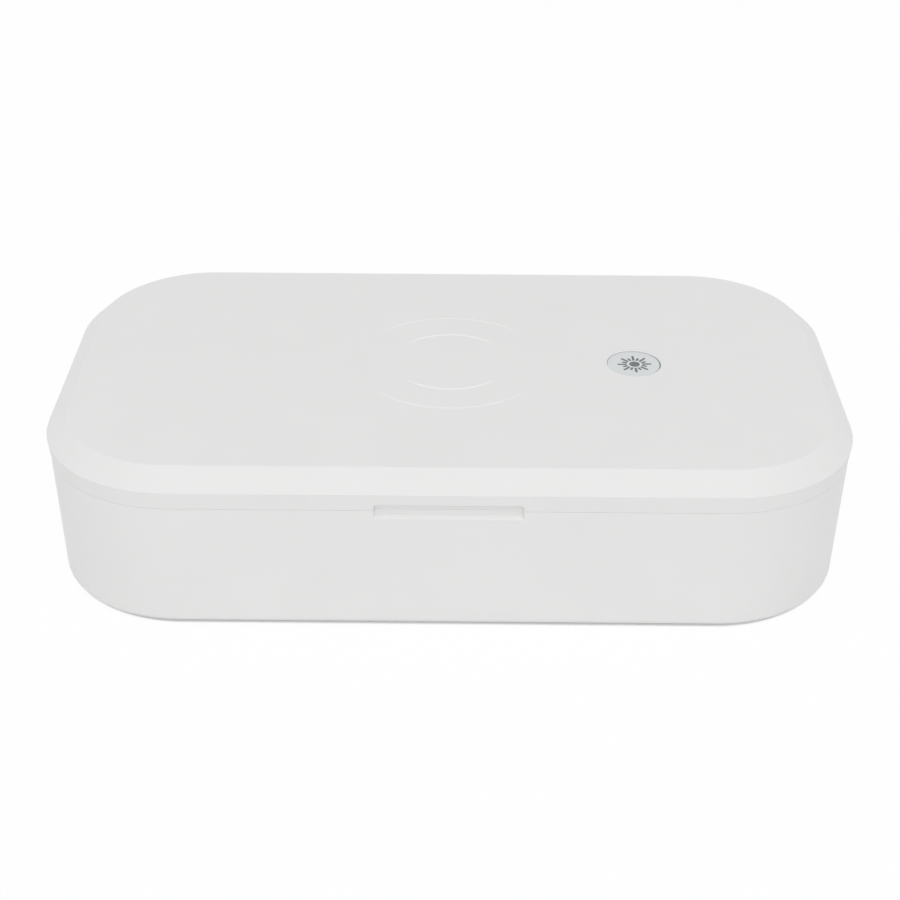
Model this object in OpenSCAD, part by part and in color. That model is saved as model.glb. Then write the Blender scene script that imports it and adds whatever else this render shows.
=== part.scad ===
// Hinged box that cleans a phone with ultraviolet lamps and charges another one on its lid.
// The front faces -Y, the hinge is at the rear (+Y), and z = 0 is the surface it stands on.

/* [Case] */
// Width of the case at the split line
box_w = 220; // [200:1:250]
// Depth of the case at the split line, without the hinge
box_d = 127; // [115:1:150]
// Height of the tub, from its underside to the split line
base_h = 36.4; // [33:0.2:50]
// Height of the cover above the split line
lid_h = 10.3; // [9.8:0.1:14]
// Corner radius at the split line, seen from above
corner_r = 37; // [30:1:45]
// Wall thickness of the tub and the cover
wall = 2.4; // [2:0.1:3]
// How much the tub narrows on each side down to its underside
base_draft = 1; // [0:0.1:2]
// How much the cover narrows on each side up to its chamfer
lid_draft = 0.6; // [0:0.1:1]
// Width and height of the chamfer round the top
chamfer = 5.1; // [3:0.1:5.5]
// Thickness of the tub's floor
floor_t = 2; // [1.5:0.1:3]
// Thickness of the cover's top
top_t = 2.2; // [1.6:0.1:2.6]
// Gap between the cover and the tub at the split line
split_gap = 0.15; // [0.1:0.05:0.4]

/* [Finger pull] */
// Width of the finger notch in the middle of the front
pull_w = 38.8; // [30:0.2:60]
// Height of the notch in the cover
pull_h = 2; // [1:0.1:3]
// Depth of the notch
pull_depth = 1.7; // [1:0.1:1.8]
// Height and depth of the bevelled ledge on the tub below it
ledge = 1.3; // [0.6:0.1:1.6]

/* [Button] */
// Distance of the button to the right of the middle
button_x = 52.5; // [45:0.5:60]
// Diameter of the button hole
button_hole_d = 15.6; // [12:0.2:18]
// Gap all round the button
button_gap = 0.2; // [0.1:0.05:0.4]
// How far the button lies below the top
button_sunk = 0.3; // [0.1:0.1:0.6]
// Travel of the button
button_travel = 0.6; // [0.3:0.1:0.8]
// Thickness of the button's face
button_t = 1.6; // [1.2:0.1:2]
// Width of the flange that keeps the button in
button_flange = 1; // [0.6:0.1:1.5]

/* [Charging rings] */
// Radius of the inner pair of arcs
ring_in_r = 16.4; // [12:0.2:20]
// Radius of the outer pair of arcs
ring_out_r = 27; // [22:0.2:32]
// Half of the angle that each arc spans
ring_half_angle = 47; // [30:1:70]
// Width of each groove
ring_w = 0.6; // [0.4:0.1:1]
// Depth of each groove
ring_deep = 0.2; // [0.1:0.05:0.4]
// Outer radius of the charging coil
coil_r = 21; // [18:1:23]
// Inner radius of the charging coil
coil_in_r = 10; // [8:1:12]
// Thickness of the charging coil
coil_t = 1.2; // [0.8:0.1:1.6]
// Width of the square ferrite sheet under the coil
ferrite_w = 48; // [46:1:50]
// Thickness of the ferrite sheet
ferrite_t = 0.8; // [0.5:0.1:1]

/* [Tray] */
// Height of the tray's floor above the table
tray_z = 13.6; // [13:0.2:16]
// Wall and floor thickness of the tray
tray_t = 1.4; // [1.2:0.1:1.6]
// Depth of the step in the tub's rim that carries the tray
rim_step = 1.6; // [1.2:0.1:2]
// Thickness of the tub's rim outside the tray
rim_t = 1.3; // [1:0.1:1.4]
// Gap between the tub wall and the tray wall
tray_gap = 2.2; // [2.1:0.1:3]
// Height of the light-stopping lip above the split line
lip_h = 1.2; // [0.6:0.1:1.2]
// Radius of the bend between the tray's floor and wall
tray_round = 5; // [2:0.5:8]
// Gap between parts that are laid into each other
seat_gap = 0.15; // [0.1:0.05:0.2]
// Height of the clear rails under the phone
rail_h = 3; // [2:0.2:5]
// Thickness of each rail
rail_t = 2.4; // [2:0.2:4]
// Distance between a rail's end and the nearest trough
rail_end_gap = 6.5; // [3:0.5:12]
// Distance between neighbouring rails
rail_step = 44; // [30:1:60]

/* [Lamps] */
// Diameter of the lamp tubes
lamp_d = 4; // [3.6:0.1:4.2]
// Glass thickness of the lamp tubes
lamp_glass = 0.5; // [0.4:0.1:0.8]
// Distance of the lamps from the front and the rear of the case
lamp_in = 19.5; // [18.5:0.5:21]
// Distance from a trough's end to the tube inside it
lamp_end_gap = 5; // [4:0.5:7]
// Distance from a trough's end to the screw post beside it
trough_end_gap = 5; // [3:0.5:10]
// Width of the trough at its mouth
trough_w = 13; // [11:0.5:13]
// Width of the trough at its bottom
trough_bottom_w = 5.4; // [5:0.2:7]
// Depth of the trough
trough_deep = 5.5; // [5.2:0.1:5.6]
// Thickness of the reflector sheet
sheet_t = 0.4; // [0.3:0.1:0.5]
// Width of the flange on each side of a trough
flange_w = 2; // [1.5:0.1:3]
// Distance of a lamp's centre from the trough's bottom
lamp_up = 2.8; // [2.6:0.1:3]
// Length of the soft holder at each end of a lamp
holder_l = 8; // [6:0.5:10]

/* [Cover panel] */
// Thickness of the inner panel
panel_t = 1.6; // [1.4:0.1:2]
// Height of the panel's underside above the split line
panel_up = 1.6; // [1.5:0.1:2]
// Gap round the panel
panel_gap = 0.3; // [0.2:0.1:0.5]
// Diameter of the screw bosses in the cover
boss_d = 5; // [4.5:0.1:6]
// Shank diameter of the panel screws
panel_screw_d = 2; // [1.6:0.1:2.2]
// Head diameter of the panel screws
panel_head_d = 4; // [3.6:0.1:4.4]
// Head height of the panel screws
panel_head_h = 1; // [0.8:0.1:1]
// Distance of the side screws from the panel's left and right edges
panel_screw_in = 10.6; // [8:0.2:12]
// Distance of the side screws in front of and behind the middle
panel_screw_y = 20; // [10:1:24]

/* [Feet and tray screws] */
// Diameter of the feet
foot_d = 12; // [10:0.5:14]
// How far the feet stand out below the case
foot_out = 0.8; // [0.5:0.1:2]
// How deep the feet sit in the floor
foot_in = 0.6; // [0.4:0.1:0.8]
// Distance of the feet and tray screws from the case's left and right sides
foot_side = 21; // [19:0.5:26]
// Distance of the feet and tray screws from the case's front and rear
foot_front = 25.5; // [23:0.5:30]
// Shank diameter of the tray screws
tray_screw_d = 2.6; // [2:0.1:3]
// Head diameter of the tray screws
tray_head_d = 5; // [4.4:0.1:5.4]
// Head height of the tray screws
tray_head_h = 1.6; // [1.2:0.1:2]
// Outer diameter of the screw posts
post_d = 8; // [7.6:0.2:9]

/* [Hinge] */
// Distance of each hinge to the left and right of the middle
hinge_x = 48; // [35:1:60]
// Diameter of the hinge barrels
barrel_d = 4.8; // [4.4:0.1:5.4]
// Diameter of the hinge pins
pin_d = 2; // [1.6:0.1:2.2]
// Gap round the pin in the cover's barrel
pin_gap = 0.05; // [0.02:0.01:0.1]
// Distance of the hinge axis behind the case
axis_out = 1.2; // [1.1:0.1:1.6]
// Length of the cover's barrel
barrel_l = 16; // [12:1:24]
// Length of each of the tub's two ears
ear_l = 5; // [4:0.5:8]
// Gap between an ear and the barrel, and round both in the walls
barrel_gap = 0.35; // [0.3:0.05:0.5]
// How far the stop stands out from the barrel
stop_out = 1.2; // [0.8:0.1:1.5]

/* [Electronics] */
// Length of the main board from left to right
board_l = 70; // [60:1:90]
// Thickness of the circuit boards
board_t = 1.6; // [1:0.1:1.6]
// Height of the main board above the floor
board_up = 2.6; // [2:0.1:3]
// Front edge of the main board, from the middle
board_front = -8; // [-30:1:0]
// Width of the power socket
socket_w = 9; // [8.8:0.1:9.4]
// Height of the power socket
socket_h = 3.2; // [3:0.1:3.4]
// Depth of the power socket
socket_l = 7.4; // [7:0.1:8]
// Width of the recess for the plug in the rear wall
plug_w = 13; // [12:0.5:15]
// Height of the recess for the plug
plug_h = 7; // [6:0.2:8]
// Length of the lamp converter
inverter_l = 18; // [14:1:22]
// Width of the lamp converter
inverter_w = 13; // [10:1:16]
// Height of the lamp converter
inverter_h = 4.2; // [3:0.2:4.6]
// Diameter of the capacitors
capacitor_d = 5; // [4:0.5:6.3]
// Length of the small board under the button
button_board_l = 36; // [32:1:40]
// Width of the small board under the button
button_board_w = 22; // [18:1:26]
// Length of the closing magnets
magnet_l = 12; // [8:1:16]
// Thickness of the closing magnets
magnet_t = 1.8; // [1.4:0.1:2]
// Height of the closing magnets
magnet_h = 2; // [1.6:0.1:2.4]
// Distance of the closing magnets to the left and right of the middle
magnet_x = 50; // [40:1:60]
// Length of the sensor that feels the right magnet of the cover
sensor_l = 5; // [4:0.5:6]

/* [Hidden] */
$fn = 96;

// A cut runs this far past the face that it opens
past = 1;
// Glued and screwed faces meet on the same plane; threads keep this radial gap
thread_gap = 0.05;

// Corner centres of the rounded plan, from the middle
cx = box_w / 2 - corner_r;
cy = box_d / 2 - corner_r;
// The hinge stands out behind, so the case lies forward by half of that, to centre the whole
hinge_reach = axis_out + barrel_d / 2 + stop_out;
case_y = -hinge_reach / 2;

foot_x = box_w / 2 - foot_side;
foot_y = box_d / 2 - foot_front;
lamp_y = box_d / 2 - lamp_in;
trough_l = 2 * (foot_x - post_d / 2 - trough_end_gap);
lamp_l = trough_l - 2 * lamp_end_gap;
rail_l = 2 * (lamp_y - trough_w / 2 - rail_end_gap);

// Heights
under_z = foot_out;
split_z = under_z + base_h;
lid_z = split_z + split_gap;
top_z = split_z + lid_h;
ceiling_z = top_z - top_t;
floor_z = under_z + floor_t;
panel_z = split_z + panel_up;
panel_top = panel_z + panel_t;
lid_edge_z = top_z - chamfer;
board_z = floor_z + board_up;

// Radii from the corner centres, which are also offsets from their lines
lid_edge_r = corner_r - lid_draft;
shell_in_r = corner_r - wall;
tray_out_r = shell_in_r - tray_gap;
tray_in_r = tray_out_r - tray_t;
rim_in_r = corner_r - rim_t;
lip_out_r = shell_in_r - seat_gap - 0.8;
lip_in_r = lip_out_r - tray_t;
panel_r = shell_in_r - lid_draft - panel_gap;
axis_y = box_d / 2 + axis_out;
axis_z = split_z;
// Sum of radius and height along the inner face of the chamfer
chamfer_in = lid_edge_r + lid_edge_z - wall * sqrt(2);

button_cap_r = button_hole_d / 2 - button_gap;
button_top = top_z - button_sunk;
button_under = button_top - button_t;
flange_top = ceiling_z - 0.1;
flange_h = 0.8;
stem_top = button_under - 1;
lid_board_t = 1;
lid_board_z = panel_top + 0.8;
switch_z = lid_board_z + lid_board_t;
switch_w = 6;
switch_h = 1.6;
stem_d = 3.2;
stem_gap = 0.1;
coil_z = ceiling_z - coil_t;
side_boss = [cx + panel_r - panel_screw_in, panel_screw_y];
mid_boss_y = lamp_y + trough_w / 2 + flange_w + boss_d / 2 + 0.3;
panel_screw_spots = [-side_boss, side_boss, [-side_boss[0], side_boss[1]], [side_boss[0], -side_boss[1]],
    [0, -mid_boss_y], [0, mid_boss_y]];
panel_screw_l = ceiling_z - panel_z - 1.2;
post_top = tray_z - tray_t - 5;
head_z = under_z + foot_in + 1;
pin_l = barrel_l + 2 * (barrel_gap + ear_l) - 0.4;
socket_y = box_d / 2 - wall - 0.2;
board_rear = box_d / 2 - wall - base_draft - 0.5;
plug_z = board_z + board_t + socket_h / 2;
magnet_y = -cy - shell_in_r + 0.2;
magnet_z = split_z - rim_step - magnet_h - 0.2;
sensor_x = magnet_x - magnet_l / 2 - sensor_l;
lid_magnet_y = -cy - panel_r + 3.4;

white = [0.93, 0.93, 0.92];
silver = [0.78, 0.79, 0.8];
glass = [0.75, 0.85, 0.95, 0.6];
green = [0.1, 0.4, 0.25];
black = [0.12, 0.12, 0.13];
copper = [0.72, 0.43, 0.2];
pale_grey = [0.8, 0.82, 0.83];

// Points of a round bend from one angle to the other
function bend(x, y, r, from, to, steps = 4) =
    [for (i = [0 : steps]) let (a = from + (to - from) * i / steps) [x + r * cos(a), y + r * sin(a)]];

// Carries a wall profile, given as [distance out, height] points, round the rounded plan
module swept(points) {
    for (side = [0, 180]) rotate([0, 0, side]) {
        translate([cx, cy, 0]) rotate_extrude(angle = 90) polygon(points);
        translate([-cx, cy, 0]) rotate([0, 0, 90]) rotate_extrude(angle = 90) polygon(points);
        translate([-cx, cy, 0]) rotate([90, 0, 90]) linear_extrude(2 * cx) polygon(points);
        translate([cx, cy, 0]) rotate([90, 0, 0]) linear_extrude(2 * cy) polygon(points);
    }
}

// A flat plate with the rounded plan, out to radius r
module plate(r, z, t) {
    translate([0, 0, z]) linear_extrude(t) hull_free_plan(r);
}

// The rounded plan made from two rectangles and four discs
module hull_free_plan(r) {
    square([2 * (cx + r), 2 * cy], center = true);
    square([2 * cx, 2 * (cy + r)], center = true);
    for (x = [-cx, cx], y = [-cy, cy]) translate([x, y]) circle(r);
}

// Puts what follows at the case's place
module in_case() {
    translate([0, case_y, 0]) children();
}

// A round rod along X, centred on the given length
module rod_x(d, l) {
    rotate([0, 90, 0]) cylinder(d = d, h = l, center = true);
}

// Extrudes a side profile, given as [depth, height] points, along X about the middle
module along_x(l, points) {
    translate([-l / 2, 0, 0]) rotate([90, 0, 90]) linear_extrude(l) polygon(points);
}

// Places one copy at each foot
module at_feet() {
    for (x = [-foot_x, foot_x], y = [-foot_y, foot_y]) translate([x, y, 0]) children();
}

// Places one copy at each panel screw
module at_panel_screws() {
    for (p = panel_screw_spots) translate([p[0], p[1], 0]) children();
}

// Cross-shaped driver recess, cut upwards or downwards from z = 0
module cross_recess(d, deep) {
    for (turn = [0, 90]) rotate([0, 0, turn]) cube([d, d / 5, 2 * deep], center = true);
}

// The tub

base_wall = [[corner_r - base_draft, under_z], [corner_r, split_z], [rim_in_r, split_z],
    [rim_in_r, split_z - rim_step], [shell_in_r, split_z - rim_step],
    [shell_in_r - base_draft, floor_z], [0, floor_z], [0, under_z]];

module hinge_ears() {
    for (side = [-1, 1]) translate([side * (barrel_l + ear_l + 2 * barrel_gap) / 2, axis_y, axis_z]) {
        rod_x(barrel_d, ear_l);
        along_x(ear_l, [[-axis_out - 1, -0.2], [-axis_out - 1, -7], [-axis_out, -7], [0.8, -2.2], [0, -0.2]]);
    }
}

module ear_bores() {
    translate([0, axis_y, axis_z]) rod_x(pin_d, 2 * barrel_l + 4 * ear_l);
}

module base_shell() {
    color(white) in_case() difference() {
        union() {
            swept(base_wall);
            translate([-cx, -cy, under_z]) cube([2 * cx, 2 * cy, floor_t]);
            at_feet() translate([0, 0, under_z]) cylinder(d = post_d, h = post_top - under_z);
            for (x = [-hinge_x, hinge_x]) translate([x, 0, 0]) hinge_ears();
            board_posts();
            magnet_shelves();
        }
        at_feet() {
            translate([0, 0, under_z - past]) cylinder(d = foot_d + 2 * seat_gap, h = foot_in + past);
            translate([0, 0, under_z]) cylinder(d = tray_head_d + 0.6, h = head_z + tray_head_h - under_z);
            translate([0, 0, under_z]) cylinder(d = tray_screw_d + 0.4, h = post_top);
        }
        for (x = [-hinge_x, hinge_x]) translate([x, 0, 0]) {
            ear_bores();
            translate([0, axis_y, axis_z]) rod_x(barrel_d + 2 * barrel_gap, barrel_l + barrel_gap);
        }
        finger_ledge();
        plug_recess();
    }
}

// Bevel along the tub's rim under the finger notch
module finger_ledge() {
    translate([0, -box_d / 2, split_z])
        along_x(pull_w, [[-past, past], [-past, -ledge - past], [0, -ledge], [ledge, 0], [ledge, past]]);
}

// Opening in the rear wall through which the plug reaches the socket
module plug_recess() {
    translate([0, box_d / 2, plug_z]) rotate([90, 0, 0]) linear_extrude(2 * wall + 2 * past, center = true) {
        square([plug_w - plug_h, plug_h], center = true);
        for (x = [-1, 1] * (plug_w - plug_h) / 2) translate([x, 0]) circle(d = plug_h);
    }
}

module board_posts() {
    for (x = [-1, 1] * (board_l / 2 - 5), y = [board_front + 5, lamp_y - 12])
        translate([x, y, under_z]) cylinder(d = 5, h = board_z - under_z);
}

// Shelves on the front wall that carry the closing magnets and the sensor under the tray's rim
module magnet_shelves() {
    shelf_h = 1.2;
    for (spot = [[-magnet_x, magnet_l], [magnet_x, magnet_l], [sensor_x, sensor_l]])
        translate([spot[0] - spot[1] / 2, -cy - shell_in_r - 0.5, magnet_z - shelf_h])
            cube([spot[1], 0.5 + magnet_t, shelf_h]);
}

module feet() {
    color(pale_grey) in_case() at_feet() cylinder(d = foot_d, h = foot_out + foot_in);
}

module tray_screws() {
    color(silver) in_case() at_feet() difference() {
        union() {
            translate([0, 0, head_z]) cylinder(d = tray_head_d, h = tray_head_h);
            translate([0, 0, head_z]) cylinder(d = tray_screw_d, h = post_top + 3.6 - head_z);
        }
        translate([0, 0, head_z]) cross_recess(tray_head_d * 0.6, 0.7);
    }
}

module hinge_pins() {
    color(silver) in_case() for (x = [-hinge_x, hinge_x]) translate([x, axis_y, axis_z]) rod_x(pin_d, pin_l);
}

// The tray and what it carries

tray_wall = concat(
    [[0, tray_z - tray_t]],
    bend(tray_out_r - 1 - tray_round, tray_z - tray_t + tray_round, tray_round, 270, 360),
    [[tray_out_r, split_z - rim_step], [rim_in_r - seat_gap, split_z - rim_step],
    [rim_in_r - seat_gap, split_z - 0.1], [lip_out_r, split_z - 0.1], [lip_out_r, split_z + lip_h],
    [lip_in_r, split_z + lip_h], [tray_in_r, split_z - 1]],
    bend(tray_out_r - 1 - tray_round, tray_z - tray_t + tray_round, tray_round - tray_t, 360, 270),
    [[0, tray_z]]);

module trough_window(z, t) {
    for (y = [-lamp_y, lamp_y]) translate([0, y, z + t / 2]) cube([trough_l, trough_w, t + 2 * past], center = true);
}

module chamber_tray() {
    color(silver) in_case() difference() {
        union() {
            swept(tray_wall);
            translate([-cx, -cy, tray_z - tray_t]) cube([2 * cx, 2 * cy, tray_t]);
            at_feet() translate([0, 0, post_top]) cylinder(d = post_d - 1, h = tray_z - tray_t / 2 - post_top);
        }
        trough_window(tray_z - tray_t, tray_t);
        at_feet() translate([0, 0, post_top - past]) cylinder(d = tray_screw_d + 2 * thread_gap, h = past + 4);
    }
}

// Rounded clear bars across the tray, between the lamps
module phone_rails() {
    color(glass) in_case() for (i = [-1.5 : 1.5]) translate([i * rail_step, 0, tray_z])
        rotate([90, 0, 0]) linear_extrude(rail_l, center = true) {
            translate([-rail_t / 2, 0]) square([rail_t, rail_h - rail_t / 2]);
            translate([0, rail_h - rail_t / 2]) circle(d = rail_t);
        }
}

// Half profile of a trough seen from its end, mouth at height 0 and bottom at trough_deep
function trough_side(extra) = [[trough_w / 2 + extra, 0], [trough_w / 2 + extra, panel_t],
    [trough_bottom_w / 2 + extra, trough_deep + extra]];

function mirrored(points) = concat(points, [for (i = [len(points) - 1 : -1 : 0]) [-points[i][0], points[i][1]]]);

// A reflector with its mouth facing down at z = 0 and its flanges on the panel's upper face
module reflector() {
    difference() {
        union() {
            along_x(trough_l, mirrored([[trough_w / 2, 0.2], [trough_w / 2, panel_t],
                [trough_w / 2 + flange_w, panel_t], [trough_w / 2 + flange_w, panel_t + sheet_t],
                [trough_w / 2 + sheet_t / 2, panel_t + sheet_t],
                [trough_bottom_w / 2 + sheet_t, trough_deep + sheet_t]]));
        }
        along_x(trough_l - 2 * sheet_t, mirrored([[trough_w / 2 - sheet_t, -past],
            [trough_w / 2 - sheet_t, panel_t], [trough_bottom_w / 2, trough_deep]]));
    }
}

module lamp() {
    rotate([0, 90, 0]) difference() {
        cylinder(d = lamp_d, h = lamp_l, center = true);
        cylinder(d = lamp_d - 2 * lamp_glass, h = lamp_l + past, center = true);
    }
}

// Two soft blocks that fill the trough's ends and grip the lamp
module lamp_holders() {
    for (side = [-1, 1]) difference() {
        translate([side * (trough_l / 2 - sheet_t - holder_l / 2), 0, 0])
            along_x(holder_l, mirrored([[trough_w / 2 - sheet_t - 0.5, panel_t - 0.4],
                [trough_w / 2 - sheet_t - 0.5, panel_t + 0.1], [trough_bottom_w / 2 - 0.1, trough_deep]]));
        translate([0, 0, trough_deep - lamp_up]) rod_x(lamp_d + 2 * thread_gap, lamp_l + 2 * thread_gap);
    }
}

// Places troughs under the tray, mouth up, or in the cover, mouth down
module below(y) {
    in_case() translate([0, y, tray_z]) mirror([0, 0, 1]) children();
}

module above(y) {
    in_case() translate([0, y, panel_z]) children();
}

module base_reflector_front() color(silver) below(-lamp_y) reflector_for(tray_t) reflector();
module base_reflector_rear() color(silver) below(lamp_y) reflector_for(tray_t) reflector();
module lid_reflector_front() color(silver) above(-lamp_y) reflector();
module lid_reflector_rear() color(silver) above(lamp_y) reflector();

// The tray is thinner than the panel, so a trough under it is lowered to keep its flange on the sheet
module reflector_for(t) {
    translate([0, 0, t - panel_t]) children();
}

module lamp_at() {
    translate([0, 0, trough_deep - lamp_up]) lamp();
}

module base_lamp_front() color(glass) below(-lamp_y) reflector_for(tray_t) lamp_at();
module base_lamp_rear() color(glass) below(lamp_y) reflector_for(tray_t) lamp_at();
module lid_lamp_front() color(glass) above(-lamp_y) lamp_at();
module lid_lamp_rear() color(glass) above(lamp_y) lamp_at();

module base_lamp_holders() {
    color(white) for (y = [-lamp_y, lamp_y]) below(y) reflector_for(tray_t) lamp_holders();
}

module lid_lamp_holders() {
    color(white) for (y = [-lamp_y, lamp_y]) above(y) lamp_holders();
}

// Power electronics under the tray

module main_board() {
    color(green) in_case() translate([-board_l / 2, board_front, board_z])
        cube([board_l, board_rear - board_front, board_t]);
}

module power_socket() {
    tongue_h = 0.7;
    color(silver) in_case() translate([0, socket_y, plug_z]) rotate([90, 0, 0]) {
        difference() {
            linear_extrude(socket_l) pill(socket_w, socket_h);
            translate([0, 0, -past]) linear_extrude(socket_l - 1 + past) pill(socket_w - 0.6, socket_h - 0.6);
        }
        translate([0, 0, socket_l - 3]) cube([socket_w - 2.4, tongue_h, 5], center = true);
    }
}

// A flat outline with half-round ends
module pill(w, h) {
    square([w - h, h], center = true);
    for (x = [-1, 1] * (w - h) / 2) translate([x, 0]) circle(d = h);
}

module lamp_inverter() {
    slot_w = inverter_w / 6;
    color(black) in_case() translate([-inverter_l, board_front + inverter_l, board_z + board_t + inverter_h / 2])
        difference() {
            cube([inverter_l, inverter_w, inverter_h], center = true);
            for (y = [-1, 1] * (inverter_w / 2 - slot_w)) translate([0, y, 0])
                cube([0.6 * inverter_l, slot_w, inverter_h + past], center = true);
        }
}

module power_capacitors() {
    color(black) in_case() for (x = [2, 3.5] * capacitor_d)
        translate([x, board_front + inverter_l, board_z + board_t]) cylinder(d = capacitor_d, h = inverter_h);
}

module base_magnets() {
    color(silver) in_case() for (x = [-magnet_x, magnet_x])
        translate([x - magnet_l / 2, magnet_y, magnet_z]) cube([magnet_l, magnet_t - 0.2, magnet_h]);
}

module lid_sensor() {
    color(black) in_case() translate([sensor_x - sensor_l / 2, magnet_y, magnet_z])
        cube([sensor_l, magnet_t - 0.2, magnet_h]);
}

// The cover

lid_wall = [[shell_in_r, lid_z], [corner_r, lid_z], [lid_edge_r, lid_edge_z], [lid_edge_r - chamfer, top_z],
    [0, top_z], [0, ceiling_z], [chamfer_in - ceiling_z, ceiling_z],
    [shell_in_r - lid_draft, chamfer_in - shell_in_r + lid_draft]];

module hinge_barrel() {
    translate([0, axis_y, axis_z]) {
        rod_x(barrel_d, barrel_l - barrel_gap);
        along_x(barrel_l - barrel_gap,
            [[-axis_out - 1.4, 0.3], [0, 0.3], [0.8, 2.2], [-axis_out - lid_draft, 5], [-axis_out - 1.4, 5]]);
        along_x(4, [[0, -0.5], [barrel_d / 2 + stop_out, -0.5], [barrel_d / 2 + stop_out, 0.5], [0, 0.5]]);
    }
}

module arc_groove(r) {
    for (side = [90, 270]) rotate([0, 0, side - ring_half_angle])
        rotate_extrude(angle = 2 * ring_half_angle)
            polygon([[r - ring_w / 2, past], [r - ring_w / 2, 0], [r, -ring_deep], [r + ring_w / 2, 0],
                [r + ring_w / 2, past]]);
}

module finger_notch() {
    translate([0, -box_d / 2, lid_z]) rotate([90, 0, 0]) linear_extrude(2 * pull_depth, center = true) {
        translate([-pull_w / 2, -past]) square([pull_w, past + pull_h - 1]);
        translate([-pull_w / 2 + 1, 0]) square([pull_w - 2, pull_h]);
        for (x = [-1, 1] * (pull_w / 2 - 1)) translate([x, pull_h - 1]) circle(1);
    }
}

module lid_shell() {
    color(white) in_case() difference() {
        union() {
            swept(lid_wall);
            translate([-cx, -cy, ceiling_z]) cube([2 * cx, 2 * cy, top_t]);
            at_panel_screws() translate([0, 0, panel_top]) cylinder(d = boss_d, h = top_z - 1 - panel_top);
            board_pegs();
            for (x = [-hinge_x, hinge_x]) translate([x, 0, 0]) hinge_barrel();
        }
        at_panel_screws() translate([0, 0, panel_top - past])
            cylinder(d = panel_screw_d + 2 * thread_gap, h = past + panel_screw_l);
        translate([button_x, 0, ceiling_z - past]) cylinder(d = button_hole_d, h = top_t + 2 * past);
        for (x = [-hinge_x, hinge_x]) translate([x, 0, 0]) {
            translate([0, axis_y, axis_z]) rod_x(pin_d + 2 * pin_gap, barrel_l + past);
            for (side = [-1, 1]) translate([side * (barrel_l + ear_l + 2 * barrel_gap) / 2, axis_y, axis_z])
                rod_x(barrel_d + 2 * barrel_gap, ear_l + 1.4 * barrel_gap);
        }
        translate([0, 0, top_z]) {
            arc_groove(ring_in_r);
            arc_groove(ring_out_r);
        }
        finger_notch();
    }
}

// Pegs that hold the small board under the button
module board_pegs() {
    peg_d = 4;
    for (x = [-1, 1] * (button_board_l / 2 - peg_d)) translate([button_x + x, 0, switch_z])
        cylinder(d = peg_d, h = top_z - 1 - switch_z);
}

module lid_panel() {
    color(white) in_case() difference() {
        plate(panel_r, panel_z, panel_t);
        trough_window(panel_z, panel_t);
        at_panel_screws() {
            translate([0, 0, panel_z - past]) cylinder(d = panel_head_d + 0.4, h = past + panel_head_h);
            translate([0, 0, panel_z]) cylinder(d = panel_screw_d + 0.2, h = panel_t + past);
        }
        for (x = [-magnet_x, magnet_x]) translate([x, lid_magnet_y, panel_top])
            cube([magnet_l + 0.2, magnet_t + 0.2, 2 * panel_t - 1.2], center = true);
    }
}

module lid_magnets() {
    color(silver) in_case() for (x = [-magnet_x, magnet_x])
        translate([x, lid_magnet_y, panel_z + 0.6 + magnet_h / 2]) cube([magnet_l, magnet_t, magnet_h], center = true);
}

module lid_screws() {
    color(silver) in_case() at_panel_screws() difference() {
        union() {
            translate([0, 0, panel_z]) cylinder(d = panel_head_d, h = panel_head_h);
            translate([0, 0, panel_z]) cylinder(d = panel_screw_d, h = panel_screw_l);
        }
        translate([0, 0, panel_z]) cross_recess(panel_head_d * 0.6, 0.5);
    }
}

module charging_coil() {
    color(copper) in_case() translate([0, 0, coil_z]) difference() {
        cylinder(r = coil_r, h = coil_t);
        translate([0, 0, -past]) cylinder(r = coil_in_r, h = coil_t + 2 * past);
    }
}

module ferrite_sheet() {
    color(black) in_case() translate([0, 0, coil_z - ferrite_t / 2])
        cube([ferrite_w, ferrite_w, ferrite_t], center = true);
}

module lid_board() {
    color(green) in_case() translate([button_x, 0, lid_board_z + lid_board_t / 2])
        cube([button_board_l, button_board_w, lid_board_t], center = true);
}

module tact_switch() {
    color(black) in_case() translate([button_x, 0, switch_z]) difference() {
        translate([-switch_w / 2, -switch_w / 2, 0]) cube([switch_w, switch_w, switch_h]);
        translate([0, 0, 0.2]) cylinder(d = stem_d + 2 * stem_gap, h = switch_h);
    }
}

// The button, which moves down by its travel

module button_cap() {
    color(pale_grey) in_case() translate([button_x, 0, 0]) {
        translate([0, 0, button_under]) cylinder(r = button_cap_r, h = button_t);
        translate([0, 0, stem_top]) cylinder(d = 4, h = button_under - stem_top);
        difference() {
            union() {
                translate([0, 0, flange_top - flange_h]) cylinder(r = button_cap_r, h = button_under - flange_top + flange_h);
                translate([0, 0, flange_top - flange_h]) cylinder(r = button_hole_d / 2 + button_flange, h = flange_h);
            }
            translate([0, 0, flange_top - flange_h - past]) cylinder(r = button_cap_r - 1.2, h = 4);
        }
    }
}

module switch_stem() {
    color(black) in_case() translate([button_x, 0, switch_z + 0.2 + button_travel])
        cylinder(d = stem_d, h = stem_top - switch_z - 0.2 - button_travel);
}

base_shell();
chamber_tray();
phone_rails();
base_reflector_front();
base_reflector_rear();
base_lamp_front();
base_lamp_rear();
base_lamp_holders();
main_board();
power_socket();
lamp_inverter();
power_capacitors();
base_magnets();
lid_sensor();
tray_screws();
feet();
hinge_pins();
lid_shell();
lid_panel();
lid_reflector_front();
lid_reflector_rear();
lid_lamp_front();
lid_lamp_rear();
lid_lamp_holders();
charging_coil();
ferrite_sheet();
lid_board();
tact_switch();
lid_magnets();
lid_screws();
button_cap();
switch_stem();
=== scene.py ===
"""Dressed model of a box that cleans phones with ultraviolet light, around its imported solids.

Every length below is in millimetres, and the meshes are in metres.
"""
import logging
import math
from collections.abc import Callable, Iterable, Sequence
from dataclasses import dataclass, field
from enum import Enum

import bmesh
import bpy
from mathutils import Matrix, Vector


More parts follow.
